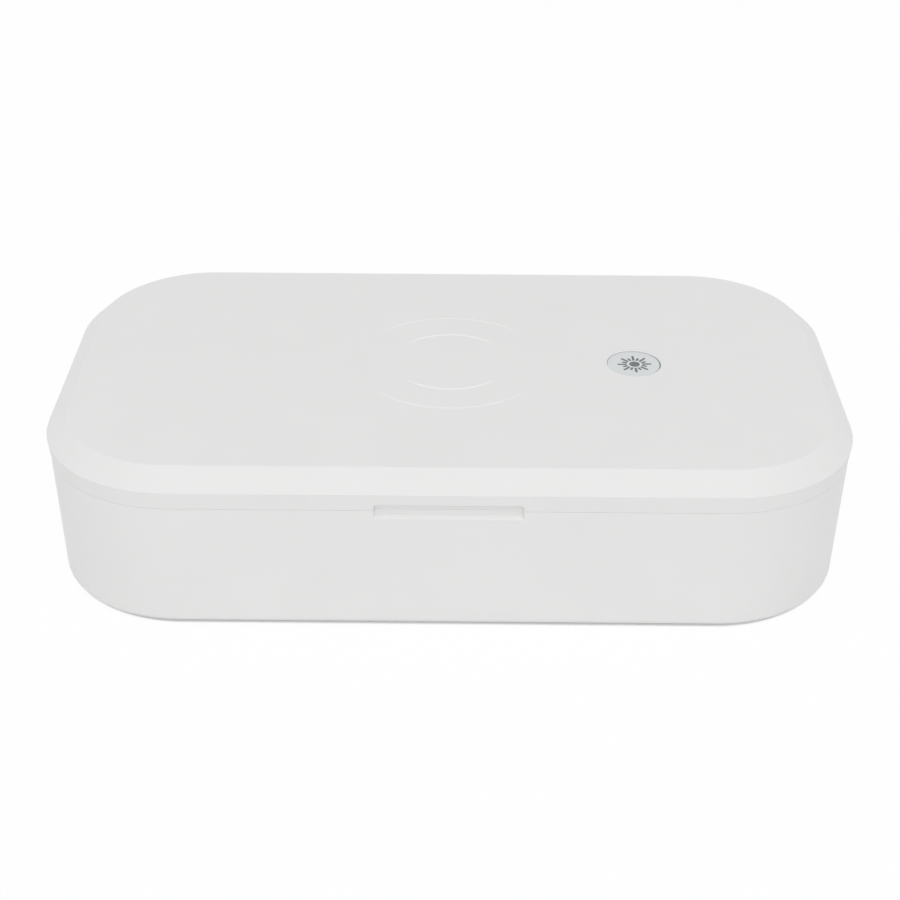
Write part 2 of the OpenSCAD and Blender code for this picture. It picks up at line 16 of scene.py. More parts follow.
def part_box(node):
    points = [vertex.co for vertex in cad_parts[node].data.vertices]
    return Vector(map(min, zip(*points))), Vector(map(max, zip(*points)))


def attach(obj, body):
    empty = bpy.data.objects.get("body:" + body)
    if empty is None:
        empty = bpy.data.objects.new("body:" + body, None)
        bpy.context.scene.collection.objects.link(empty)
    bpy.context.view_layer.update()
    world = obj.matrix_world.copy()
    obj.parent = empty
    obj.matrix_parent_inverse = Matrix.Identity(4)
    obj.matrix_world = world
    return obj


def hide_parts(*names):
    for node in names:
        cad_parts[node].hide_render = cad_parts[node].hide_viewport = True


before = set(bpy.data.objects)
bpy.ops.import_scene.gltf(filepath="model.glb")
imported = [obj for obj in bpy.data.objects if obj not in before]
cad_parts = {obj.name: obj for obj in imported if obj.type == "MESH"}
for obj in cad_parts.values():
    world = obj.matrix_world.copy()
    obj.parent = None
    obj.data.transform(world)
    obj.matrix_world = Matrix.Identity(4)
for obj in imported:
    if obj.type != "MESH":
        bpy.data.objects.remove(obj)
log = logging.getLogger("phone_box")

MM = 0.001
CORNER_STEPS = 24
SMOOTH_DEGREES = 40.0
Colour = tuple[float, float, float]
Spot = tuple[float, float]
Corner = tuple[float, float, float]
FaceTest = Callable[[Vector, Vector], bool]


class Join(Enum):
    """How a second shape acts on the first."""

    ADD = "UNION"
    CUT = "DIFFERENCE"


class Body(Enum):
    """The parts of the box that move as one."""

    BASE = "base"
    LID = "lid"
    BUTTON = "button"


@dataclass(frozen=True)
class Plan:
    """A rounded rectangle seen from above, with its middle on the case's middle."""

    half_x: float
    half_y: float
    radius: float


@dataclass(frozen=True)
class Case:
    """Sizes that the tub, the tray and the cover share."""

    mid_y: float = -2.4
    half_x: float = 110.0
    half_y: float = 63.5
    corner: float = 37.0
    split_r: float = 36.45
    under_z: float = 0.8
    split_z: float = 37.2
    rim_z: float = 37.3
    lid_z: float = 37.35
    edge_z: float = 42.4
    top_z: float = 47.5
    ceiling_z: float = 45.3
    panel_z: float = 38.8
    panel_top: float = 40.4
    tray_z: float = 13.6
    lamp_y: float = 44.0
    trough_l: float = 160.0
    trough_w: float = 13.0
    foot_x: float = 89.0
    foot_y: float = 38.0
    hinge_x: float = 48.0
    axis_y: float = 62.3
    barrel_l: float = 16.0
    barrel_r: float = 2.4
    ear_l: float = 5.0
    barrel_gap: float = 0.35
    button_x: float = 52.5
    plug_z: float = 8.6

    def plan(self, offset: float) -> Plan:
        """The outline whose corner radius is offset, round the same corner centres."""
        inward = self.corner - offset
        return Plan(self.half_x - inward, self.half_y - inward, offset)

    def foot_spots(self) -> list[Spot]:
        """The middles of the four feet."""
        return [(x, self.mid_y + y) for x in (-self.foot_x, self.foot_x) for y in (-self.foot_y, self.foot_y)]


CASE = Case()


class Bench:
    """Modelling moves that more than one piece uses, each on real mesh operators."""

    @staticmethod
    def clear() -> None:
        """Leave edit mode and deselect everything."""
        if bpy.context.mode != "OBJECT":
            Bench.close()
        bpy.ops.object.select_all(action="DESELECT")

    @staticmethod
    def activate(*objects: bpy.types.Object) -> None:
        """Select these objects alone, the first one active."""
        Bench.clear()
        for obj in objects:
            obj.select_set(True)
        bpy.context.view_layer.objects.active = objects[0]

    @staticmethod
    def named(name: str) -> bpy.types.Object:
        """Name the object just added, and settle its place into its mesh."""
        obj = bpy.context.object
        obj.name = name
        obj.data.name = name
        Bench.activate(obj)
        bpy.ops.object.transform_apply(location=True, rotation=True, scale=True)
        return obj

    @staticmethod
    def edit(obj: bpy.types.Object, whole: bool = False) -> None:
        """Open an object in edit mode, with all of it selected or nothing."""
        Bench.activate(obj)
        bpy.ops.object.mode_set(mode="EDIT")
        bpy.ops.mesh.select_mode(type="FACE")
        bpy.ops.mesh.select_all(action="SELECT" if whole else "DESELECT")

    @staticmethod
    def close() -> None:
        """Leave edit mode."""
        bpy.ops.object.mode_set(mode="OBJECT")

    @staticmethod
    def inset(thickness: float, depth: float = 0.0, individual: bool = False) -> None:
        """Inset the selected faces by a width, and raise what is left by a depth."""
        bpy.ops.mesh.inset(
            thickness=thickness * MM, depth=depth * MM, use_even_offset=True, use_individual=individual
        )

    @staticmethod
    def pick_faces(obj: bpy.types.Object, test: FaceTest) -> None:
        """Select the faces that pass a test, from their middle in millimetres and their normal."""
        work = bmesh.from_edit_mesh(obj.data)
        for face in work.faces:
            face.select_set(test(face.calc_center_median() / MM, face.normal))
        work.select_flush(True)
        bmesh.update_edit_mesh(obj.data)

    @staticmethod
    def pick_edges(obj: bpy.types.Object, test: FaceTest) -> None:
        """Select the edges that pass a test, from their middle in millimetres and their direction."""
        bpy.ops.mesh.select_mode(type="EDGE")
        work = bmesh.from_edit_mesh(obj.data)
        for edge in work.edges:
            first, last = (v.co for v in edge.verts)
            edge.select_set(test((first + last) / (2 * MM), (last - first).normalized()))
        work.select_flush_mode()
        bmesh.update_edit_mesh(obj.data)

    @staticmethod
    def combine(obj: bpy.types.Object, tool: bpy.types.Object, how: Join) -> None:
        """Join a second shape to the first, or cut it away, and use it up."""
        modifier = obj.modifiers.new("joined", "BOOLEAN")
        modifier.operation = how.value
        modifier.solver = "EXACT"
        modifier.object = tool
        Bench.activate(obj)
        bpy.ops.object.modifier_apply(modifier=modifier.name)
        bpy.data.objects.remove(tool)

    @staticmethod
    def merge(*objects: bpy.types.Object, name: str = "") -> bpy.types.Object:
        """Put several meshes into the first one, and name it where a name is given."""
        Bench.activate(*objects)
        if len(objects) > 1:
            bpy.ops.object.join()
        if name:
            objects[0].name = objects[0].data.name = name
        return objects[0]

    @staticmethod
    def twin(obj: bpy.types.Object, name: str) -> bpy.types.Object:
        """Copy an object with its own mesh, under a new name."""
        twin = obj.copy()
        twin.data = obj.data.copy()
        twin.name = twin.data.name = name
        bpy.context.collection.objects.link(twin)
        return twin

    @staticmethod
    def copied(obj: bpy.types.Object, name: str, shift: Corner = (0.0, 0.0, 0.0)) -> bpy.types.Object:
        """Copy an object to another place, which its mesh takes up."""
        twin = Bench.twin(obj, name)
        Bench.activate(twin)
        bpy.ops.transform.translate(value=[d * MM for d in shift])
        bpy.ops.object.transform_apply(location=True, rotation=True, scale=True)
        return twin

    @staticmethod
    def bevelled(obj: bpy.types.Object, width: float, segments: int = 3, angle: float = 35.0) -> None:
        """Round every edge that is sharper than an angle, in degrees."""
        modifier = obj.modifiers.new("soft_edges", "BEVEL")
        modifier.width = width * MM
        modifier.segments = segments
        modifier.limit_method = "ANGLE"
        modifier.angle_limit = math.radians(angle)
        modifier.miter_outer = "MITER_ARC"
        Bench.activate(obj)
        bpy.ops.object.modifier_apply(modifier=modifier.name)

    @staticmethod
    def smooth(obj: bpy.types.Object) -> None:
        """Shade a finished piece smooth, with its flat faces kept flat."""
        Bench.activate(obj)
        bpy.ops.object.shade_smooth_by_angle(angle=math.radians(SMOOTH_DEGREES))
        modifier = obj.modifiers.new("flat_faces", "WEIGHTED_NORMAL")
        modifier.keep_sharp = True
        bpy.ops.object.modifier_apply(modifier=modifier.name)

    @staticmethod
    def tidy(obj: bpy.types.Object) -> None:
        """Merge doubles and turn every face outwards."""
        Bench.edit(obj, whole=True)
        bpy.ops.mesh.remove_doubles(threshold=0.002 * MM)
        bpy.ops.mesh.normals_make_consistent(inside=False)
        Bench.close()

    @staticmethod
    def block(
        name: str, middle: Corner, size: Corner, rounding: float = 0.0, upright: bool = False
    ) -> bpy.types.Object:
        """A block with rounded edges.

        Args:
            name: The block's name.
            middle: Its middle.
            size: Its three sides.
            rounding: The radius of its edges, or 0.
            upright: Rounds only the edges that stand up.

        Returns:
            The block.
        """
        Bench.clear()
        bpy.ops.mesh.primitive_cube_add(size=1, location=[m * MM for m in middle])
        obj = Bench.named(name)
        Bench.edit(obj, whole=True)
        bpy.ops.transform.resize(value=[s * MM for s in size], center_override=[m * MM for m in middle])
        if rounding:
            Bench.pick_edges(obj, lambda _, way: not upright or abs(way.z) > 0.9)
            bpy.ops.mesh.bevel(offset=rounding * MM, segments=4, affect="EDGES")
        Bench.close()
        return obj

    @staticmethod
    def rod(
        name: str, middle: Corner, radius: float, length: float, along: str = "Z", sides: int = 48,
        rounding: float = 0.0,
    ) -> bpy.types.Object:
        """A round bar with rounded ends.

        Args:
            name: The bar's name.
            middle: Its middle.
            radius: Its radius.
            length: Its length.
            along: The axis it lies along.
            sides: How many faces go round it.
            rounding: The radius of its end edges, or 0.

        Returns:
            The bar.
        """
        turn = {"X": (0, math.pi / 2, 0), "Y": (math.pi / 2, 0, 0), "Z": (0, 0, 0)}[along]
        Bench.clear()
        bpy.ops.mesh.primitive_cylinder_add(
            vertices=sides, radius=radius * MM, depth=length * MM, location=[m * MM for m in middle], rotation=turn
        )
        obj = Bench.named(name)
        if rounding:
            Bench.bevelled(obj, rounding, segments=4, angle=50)
        return obj

    @staticmethod
    def pill(name: str, width: float, height: float, near_y: float, far_y: float) -> bpy.types.Object:
        """A bar along Y behind the power opening, with a pill-shaped section."""
        bar = Bench.block(name, (0, (near_y + far_y) / 2, CASE.plug_z), (width, abs(far_y - near_y), height))
        Bench.edit(bar)
        Bench.pick_edges(bar, lambda _, way: abs(way.y) > 0.9)
        bpy.ops.mesh.bevel(offset=(height / 2 - 0.02) * MM, segments=10, affect="EDGES")
        Bench.close()
        return bar

    @staticmethod
    def trim(obj: bpy.types.Object, point: Corner, normal: Corner) -> None:
        """Cut away what lies beyond a plane, on the side its normal points to."""
        Bench.edit(obj, whole=True)
        bpy.ops.mesh.bisect(plane_co=[p * MM for p in point], plane_no=normal, use_fill=True, clear_outer=True)
        Bench.close()

    @staticmethod
    def softened(node: str, name: str, width: float) -> bpy.types.Object:
        """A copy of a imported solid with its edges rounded."""
        twin = Bench.twin(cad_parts[node], name)
        twin.parent = None
        twin.matrix_world = Matrix.Identity(4)
        Bench.tidy(twin)
        Bench.edit(twin, whole=True)
        bpy.ops.mesh.dissolve_limited(angle_limit=math.radians(1))
        Bench.close()
        Bench.bevelled(twin, width)
        return twin


class Profile:
    """A wall's cross section, which becomes a shell by going round a plan."""

    @staticmethod
    def rounded(corners: Sequence[Corner], steps: int = 4) -> list[Spot]:
        """Round the corners of a line.

        Args:
            corners: Points of the line as offset, height and rounding radius.
            steps: How many edges each rounded corner gets.

        Returns:
            The points of the rounded line as offset and height.
        """
        points = [Vector(corners[0][:2])]
        for before, here, after in zip(corners, corners[1:], corners[2:]):
            corner = Vector(here[:2])
            if not here[2]:
                points.append(corner)
                continue
            into = (Vector(before[:2]) - corner).normalized()
            out = (Vector(after[:2]) - corner).normalized()
            half = into.angle(out) / 2
            centre = corner + (into + out).normalized() * here[2] / math.sin(half)
            start = corner + into * here[2] / math.tan(half) - centre
            end = corner + out * here[2] / math.tan(half) - centre
            sweep = start.angle(end)
            for step in range(steps + 1):
                share = step / steps
                mixed = start * math.sin((1 - share) * sweep) + end * math.sin(share * sweep)
                points.append(centre + mixed / math.sin(sweep))
        points.append(Vector(corners[-1][:2]))
        return [(p.x, p.y) for p in points]

    @staticmethod
    def sheet(name: str, plan: Plan, line: Sequence[Spot], facing_up: bool) -> bpy.types.Object:
        """Carry a line round a plan, from the outline inwards.

        Args:
            name: The sheet's name.
            plan: The outline that the line starts on.
            line: The line's points, whose offsets never grow.
            facing_up: Whether the last face looks up.

        Returns:
            A sheet that is closed by a flat face at the line's end and open at its start.
        """
        Bench.clear()
        bpy.ops.mesh.primitive_plane_add(size=2, location=(0, CASE.mid_y * MM, line[0][1] * MM))
        obj = Bench.named(name)
        Bench.edit(obj, whole=True)
        bpy.ops.transform.resize(
            value=(plan.half_x * MM, plan.half_y * MM, 1), center_override=(0, CASE.mid_y * MM, 0)
        )
        bpy.ops.mesh.bevel(offset=plan.radius * MM, affect="VERTICES", segments=CORNER_STEPS, profile=0.5)
        bpy.ops.mesh.select_all(action="SELECT")
        if not facing_up:
            bpy.ops.mesh.flip_normals()
        for (offset, height), (next_offset, next_height) in zip(line, line[1:]):
            rise = next_height - height if facing_up else height - next_height
            Bench.inset(max(0.0, offset - next_offset), rise)
        Bench.close()
        return obj

    @staticmethod
    def shell(
        name: str,
        over: Sequence[Corner],
        under: Sequence[Corner],
        under_plan: Plan | None = None,
    ) -> bpy.types.Object:
        """A closed shell whose wall starts at its widest point and runs inwards, above and below.

        Args:
            name: The shell's name.
            over: The line above the widest point, as offset, height and rounding.
            under: The line below it, in the same form.
            under_plan: The outline that the line below starts on, where it isn't the first one.

        Returns:
            The shell.
        """
        top = Profile.sheet(name, CASE.plan(over[0][0]), Profile.rounded(over), True)
        low_plan = under_plan or CASE.plan(under[0][0])
        low = Profile.sheet(name + "_under", low_plan, Profile.rounded(under), False)
        shell = Bench.merge(top, low)
        if under_plan:
            Bench.edit(shell)
            bpy.ops.mesh.select_mode(type="EDGE")
            bpy.ops.mesh.select_non_manifold()
            bpy.ops.mesh.bridge_edge_loops()
            Bench.close()
        Bench.tidy(shell)
        return shell


@dataclass
class FingerPull:
    """The shallow pocket across the split, where a finger lifts the cover."""

    width: float = 38.8
    top_z: float = 39.0
    low_z: float = 34.65
    deep: float = 0.95
    ease: float = 0.22
    end_round: float = 0.7

    def cutter(self) -> bpy.types.Object:
        """Make the bar that cuts the pocket: upright at the back, sloped below, eased at its border.

        Returns:
            The bar.
        """
        face_y = CASE.mid_y - CASE.half_y + CASE.corner - CASE.split_r
        back, front = face_y + self.deep, face_y + self.ease
        tall = self.top_z - self.low_z
        mid_z = (self.top_z + self.low_z) / 2
        bar = Bench.block("pull_cutter", (0, (back + front) / 2, mid_z), (self.width, back - front, tall))
        Bench.trim(bar, (0, face_y, self.low_z), (0, 1, -1))
        Bench.edit(bar)
        Bench.pick_edges(bar, lambda middle, way: middle.z > self.top_z - 0.01 and abs(way.y) > 0.9)
        bpy.ops.mesh.bevel(offset=self.end_round * MM, segments=5, affect="EDGES")
        bpy.ops.mesh.select_mode(type="FACE")
        Bench.pick_faces(bar, lambda _, normal: normal.y < -0.9)
        grow = (1 + 2 * self.ease / self.width, 1, 1 + 2 * self.ease / tall)
        centre = [c * MM for c in (0, face_y, mid_z)]
        bpy.ops.mesh.extrude_region_move(TRANSFORM_OT_translate={"value": (0, -self.ease * MM, 0)})
        bpy.ops.transform.resize(value=grow, center_override=centre)
        bpy.ops.mesh.extrude_region_move(TRANSFORM_OT_translate={"value": (0, -2 * MM, 0)})
        Bench.close()
        return bar


@dataclass
class Tub:
    """The lower half: an outer shell, its feet, the hinge's ears and the power opening."""

    wall: float = 2.4
    floor_t: float = 2.0
    rim_in: float = 35.15
    rim_step: float = 1.6
    low_half_x: float = 108.6
    low_half_y: float = 62.3
    low_radius: float = 36.0
    low_round: float = 1.5
    edge_round: float = 0.05
    foot_r: float = 6.0
    foot_in: float = 0.6
    post_r: float = 4.0
    post_top: float = 7.2
    well_r: float = 2.8
    plug_w: float = 13.0
    plug_h: float = 7.0
    plug_floor: float = 0.6
    slot_w: float = 9.3
    slot_h: float = 3.5
    peg_spots: tuple[Spot, ...] = ((-30.0, -5.4), (-30.0, 29.6), (30.0, -5.4), (30.0, 29.6))
    peg_r: float = 2.5
    peg_top: float = 5.4
    shelves: tuple[Spot, ...] = ((-50.0, 12.0), (50.0, 12.0), (41.5, 5.0))
    shelf_y: float = -62.5
    shelf_z: float = 32.8
    seat_gap: float = 0.15
    bore_r: float = 1.5
    pin_r: float = 1.0

    def shell(self) -> bpy.types.Object:
        """Make the tub's wall and floor.

        Returns:
            The shell, with its rim, ledge, ears, posts and openings.
        """
        rim, seat = CASE.rim_z, CASE.split_z - self.rim_step
        inner = CASE.corner - self.wall
        over = [
            (CASE.split_r, rim - 0.6, 0),
            (CASE.split_r, rim, self.edge_round),
            (self.rim_in, rim, 0.15),
            (self.rim_in, seat, 0.1),
            (inner, seat, 0.2),
            (inner - 1.0, CASE.under_z + self.floor_t, 1.0),
            (inner - 6.0, CASE.under_z + self.floor_t, 0),
        ]
        low = Plan(self.low_half_x, self.low_half_y, self.low_radius)
        under = [
            (self.low_radius, CASE.under_z + 1.9, 0),
            (self.low_radius, CASE.under_z, self.low_round),
            (self.low_radius - 8.0, CASE.under_z, 0),
        ]
        tub = Profile.shell("tub_shell", over, under, under_plan=low)
        self._add_posts(tub)
        Bench.combine(tub, FingerPull().cutter(), Join.CUT)
        self._add_ears(tub)
        self._cut_rear(tub)
        Bench.tidy(tub)
        return tub

    def _add_posts(self, tub: bpy.types.Object) -> None:
        """Stand the screw posts, the board posts and the magnet shelves on the inside."""
        low = CASE.under_z + self.floor_t / 2
        for x, y in CASE.foot_spots():
            post = Bench.rod("post", (x, y, (low + self.post_top) / 2), self.post_r, self.post_top - low)
            Bench.combine(tub, post, Join.ADD)
        for x, y in self.peg_spots:
            peg = Bench.rod("peg", (x, y, (low + self.peg_top) / 2), self.peg_r, self.peg_top - low)
            Bench.combine(tub, peg, Join.ADD)
        for x, length in self.shelves:
            shelf = Bench.block("shelf", (x, self.shelf_y, self.shelf_z), (length, 2.6, 1.2), 0.3)
            Bench.combine(tub, shelf, Join.ADD)
        for x, y in CASE.foot_spots():
            seat = Bench.rod("seat", (x, y, CASE.under_z), self.foot_r + self.seat_gap, 2 * self.foot_in)
            Bench.combine(tub, seat, Join.CUT)
            Bench.combine(tub, Bench.rod("well", (x, y, 2.0), self.well_r, 4.0), Join.CUT)
            Bench.combine(tub, Bench.rod("bore", (x, y, 5.0), self.bore_r, 8.0), Join.CUT)

    def _add_ears(self, tub: bpy.types.Object) -> None:
        """Grow the four ears that hold the hinge pins, and clear room for the cover's barrels."""
        reach = (CASE.barrel_l + CASE.ear_l) / 2 + CASE.barrel_gap
        y, z = CASE.axis_y, CASE.split_z
        for side in (-1, 1):
            relief = Bench.rod(
                "relief", (side * CASE.hinge_x, y, z), CASE.barrel_r + CASE.barrel_gap,
                CASE.barrel_l + CASE.barrel_gap, "X",
            )
            Bench.combine(tub, relief, Join.CUT)
        for centre in (-CASE.hinge_x - reach, -CASE.hinge_x + reach, CASE.hinge_x - reach, CASE.hinge_x + reach):
            ear = Bench.rod("ear", (centre, y, z), CASE.barrel_r, CASE.ear_l, "X", rounding=0.4)
            web = Bench.block("web", (centre, y - 0.7, z - 3.6), (CASE.ear_l, 3.0, 6.8))
            Bench.trim(web, (centre, y - 1.2, z - 7.0), (0, 4.8, -2.0))
            Bench.trim(web, (centre, y + 0.8, z - 2.2), (0, 2.0, 0.8))
            Bench.bevelled(web, 0.3)
            Bench.combine(ear, web, Join.ADD)
            bore = Bench.rod("bore", (centre, y, z), self.pin_r, CASE.ear_l + 2, "X", sides=32)
            Bench.combine(ear, bore, Join.CUT)
            Bench.combine(tub, ear, Join.ADD)

    def _cut_rear(self, tub: bpy.types.Object) -> None:
        """Open the rear wall for the plug of a charging lead."""
        rear = CASE.mid_y + CASE.half_y
        wall_in = rear - self.wall
        pocket_y = wall_in + self.plug_floor + 4.0
        Bench.combine(tub, Bench.pill("plug_pocket", self.plug_w, self.plug_h, pocket_y - 4.0, pocket_y), Join.CUT)
        Bench.combine(tub, Bench.pill("plug_slot", self.slot_w, self.slot_h, wall_in - 1.0, wall_in + 2.0), Join.CUT)

    def feet(self) -> bpy.types.Object:
        """Make the four foot pads: soft discs with a rounded edge and a ring pressed in below.

        Returns:
            The pads, as one piece.
        """
        height = CASE.under_z + self.foot_in
        pads = []
        for number, (x, y) in enumerate(CASE.foot_spots()):
            pad = Bench.rod(f"foot_pad_{number}", (x, y, height / 2), self.foot_r, height, sides=64)
            Bench.edit(pad)
            Bench.pick_faces(pad, lambda _, normal: normal.z < -0.9)
            Bench.inset(0.35)
            Bench.inset(1.2)
            Bench.inset(0.3, -0.2)
            Bench.close()
            Bench.bevelled(pad, 0.18, segments=3, angle=40)
            pads.append(pad)
        return Bench.merge(*pads, name="foot_pads")


@dataclass
class Cover:
    """The upper half: the chamfered shell with its half of the finger pull, its arcs and the button hole."""

    wall: float = 2.4
    draft: float = 0.6
    top_r: float = 31.3
    edge_round: float = 0.05
    chamfer_round: float = 0.4
    hole_r: float = 7.7
    flare: float = 2.4
    ring_radii: tuple[float, float] = (16.4, 27.0)
    ring_half_angle: float = 51.0
    ring_w: float = 0.5
    ring_deep: float = 0.08
    boss_r: float = 2.5
    boss_bore: float = 1.05
    boss_spots: tuple[Spot, ...] = (
        (96.1, 20.0), (96.1, -20.0), (-96.1, 20.0), (-96.1, -20.0), (0.0, 55.3), (0.0, -55.3),
    )
    peg_x: float = 14.0
    peg_r: float = 2.0
    peg_low: float = 42.2
    pin_bore: float = 1.05

    def shell(self) -> bpy.types.Object:
        """Make the cover's outer shell.

        Returns:
            The shell, hollow below, with its barrels, bosses and openings.
        """
        edge = CASE.corner - self.draft
        over = [
            (CASE.corner, CASE.edge_z, 0),
            (self.top_r, CASE.top_z, self.chamfer_round),
            (self.top_r - 4.0, CASE.top_z, 0),
        ]
        inner = CASE.corner - self.wall
        slope_end = edge + CASE.edge_z - self.wall * math.sqrt(2)
        under = [
            (CASE.corner, CASE.edge_z, 0),
            (CASE.split_r, CASE.lid_z, self.edge_round),
            (inner, CASE.lid_z, 0.2),
            (inner - self.draft, slope_end - inner + self.draft, 0.3),
            (slope_end - CASE.ceiling_z, CASE.ceiling_z, 0.5),
            (slope_end - CASE.ceiling_z - 3.0, CASE.ceiling_z, 0),
        ]
        cover = Profile.shell("lid_cover", over, under)
        self._add_inside(cover)
        self._cut_openings(cover)
        self._add_barrels(cover)
        Bench.tidy(cover)
        return cover

    def _add_inside(self, cover: bpy.types.Object) -> None:
        """Hang the screw bosses and the board's pegs from the ceiling."""
        top = CASE.top_z - 1.0
        for x, y in self.boss_spots:
            boss = Bench.rod("boss", (x, CASE.mid_y + y, (CASE.panel_top + top) / 2), self.boss_r, top - CASE.panel_top)
            Bench.combine(cover, boss, Join.ADD)
        for x in (CASE.button_x - self.peg_x, CASE.button_x + self.peg_x):
            peg = Bench.rod("peg", (x, CASE.mid_y, (self.peg_low + top) / 2), self.peg_r, top - self.peg_low)
            Bench.combine(cover, peg, Join.ADD)
        for x, y in self.boss_spots:
            bore = Bench.rod("bore", (x, CASE.mid_y + y, 41.6), self.boss_bore, 5.0, sides=24)
            Bench.combine(cover, bore, Join.CUT)

    def _cut_openings(self, cover: bpy.types.Object) -> None:
        """Cut the button hole with its eased edge, the finger pull and the two pairs of arcs."""
        hole = Bench.rod("hole", (CASE.button_x, CASE.mid_y, CASE.ceiling_z + 1.6), self.hole_r, 5.2, sides=96)
        Bench.combine(cover, hole, Join.CUT)
        flare = Bench.rod("flare", (CASE.button_x, CASE.mid_y, CASE.top_z + 0.3), self.hole_r, 1.2, sides=96)
        Bench.edit(flare)
        Bench.pick_faces(flare, lambda _, normal: normal.z > 0.9)
        ease = (self.hole_r + self.flare) / self.hole_r
        bpy.ops.transform.resize(value=(ease, ease, 1), center_override=(CASE.button_x * MM, CASE.mid_y * MM, 0))
        Bench.close()
        Bench.combine(cover, flare, Join.CUT)
        Bench.combine(cover, FingerPull().cutter(), Join.CUT)
        for radius in self.ring_radii:
            for middle_angle in (90.0, 270.0):
                Bench.combine(cover, self._arc_cutter(radius, middle_angle), Join.CUT)

    def _arc_cutter(self, radius: float, middle_angle: float) -> bpy.types.Object:
        """Make the fine wedge that presses one arc into the top.

        Args:
            radius: The arc's radius.
            middle_angle: Where the arc's middle lies, in degrees round the rings' centre.

        Returns:
            The wedge.
        """
        start = math.radians(middle_angle - self.ring_half_angle)
        spot = (radius * math.cos(start), CASE.mid_y + radius * math.sin(start), CASE.top_z)
        Bench.clear()
        bpy.ops.mesh.primitive_circle_add(
            vertices=4, radius=self.ring_w / 2 * MM, fill_type="NGON",
            location=[s * MM for s in spot], rotation=(math.pi / 2, 0, start),
        )
        wedge = Bench.named("arc_cutter")
        Bench.edit(wedge, whole=True)
        bpy.ops.transform.resize(
            value=(1, 1, 2 * self.ring_deep / self.ring_w), center_override=[s * MM for s in spot]
        )
        bpy.ops.mesh.spin(
            steps=56, angle=-math.radians(2 * self.ring_half_angle),
            center=(0, CASE.mid_y * MM, 0), axis=(0, 0, 1),
        )
        Bench.close()
        Bench.tidy(wedge)
        return wedge

    def _add_barrels(self, cover: bpy.types.Object) -> None:
        """Grow the two barrels that turn on the pins, each with its stop."""
        y, z = CASE.axis_y, CASE.split_z
        length = CASE.barrel_l - CASE.barrel_gap
        reach = (CASE.barrel_l + CASE.ear_l) / 2 + CASE.barrel_gap
        for x in (-CASE.hinge_x, CASE.hinge_x):
            for side in (-1, 1):
                relief = Bench.rod(
                    "relief", (x + side * reach, y, z), CASE.barrel_r + CASE.barrel_gap,
                    CASE.ear_l + 1.4 * CASE.barrel_gap, "X",
                )
                Bench.combine(cover, relief, Join.CUT)
            barrel = Bench.rod("barrel", (x, y, z), CASE.barrel_r, length, "X", rounding=0.4)
            web = Bench.block("web", (x, y - 0.9, z + 2.65), (length, 3.4, 4.7))
            Bench.trim(web, (x, y + 0.8, z + 2.2), (0, 2.8, 2.6))
            Bench.trim(web, (x, y, z + 0.3), (0, 1.9, -0.8))
            Bench.bevelled(web, 0.25)
            Bench.combine(barrel, web, Join.ADD)
            stop = Bench.block("stop", (x, y + 1.8, z), (4.0, 3.6, 1.0), 0.15)
            Bench.combine(barrel, stop, Join.ADD)
            bore = Bench.rod("bore", (x, y, z), self.pin_bore, CASE.barrel_l + 1, "X", sides=32)
            Bench.combine(barrel, bore, Join.CUT)
            Bench.combine(cover, barrel, Join.ADD)


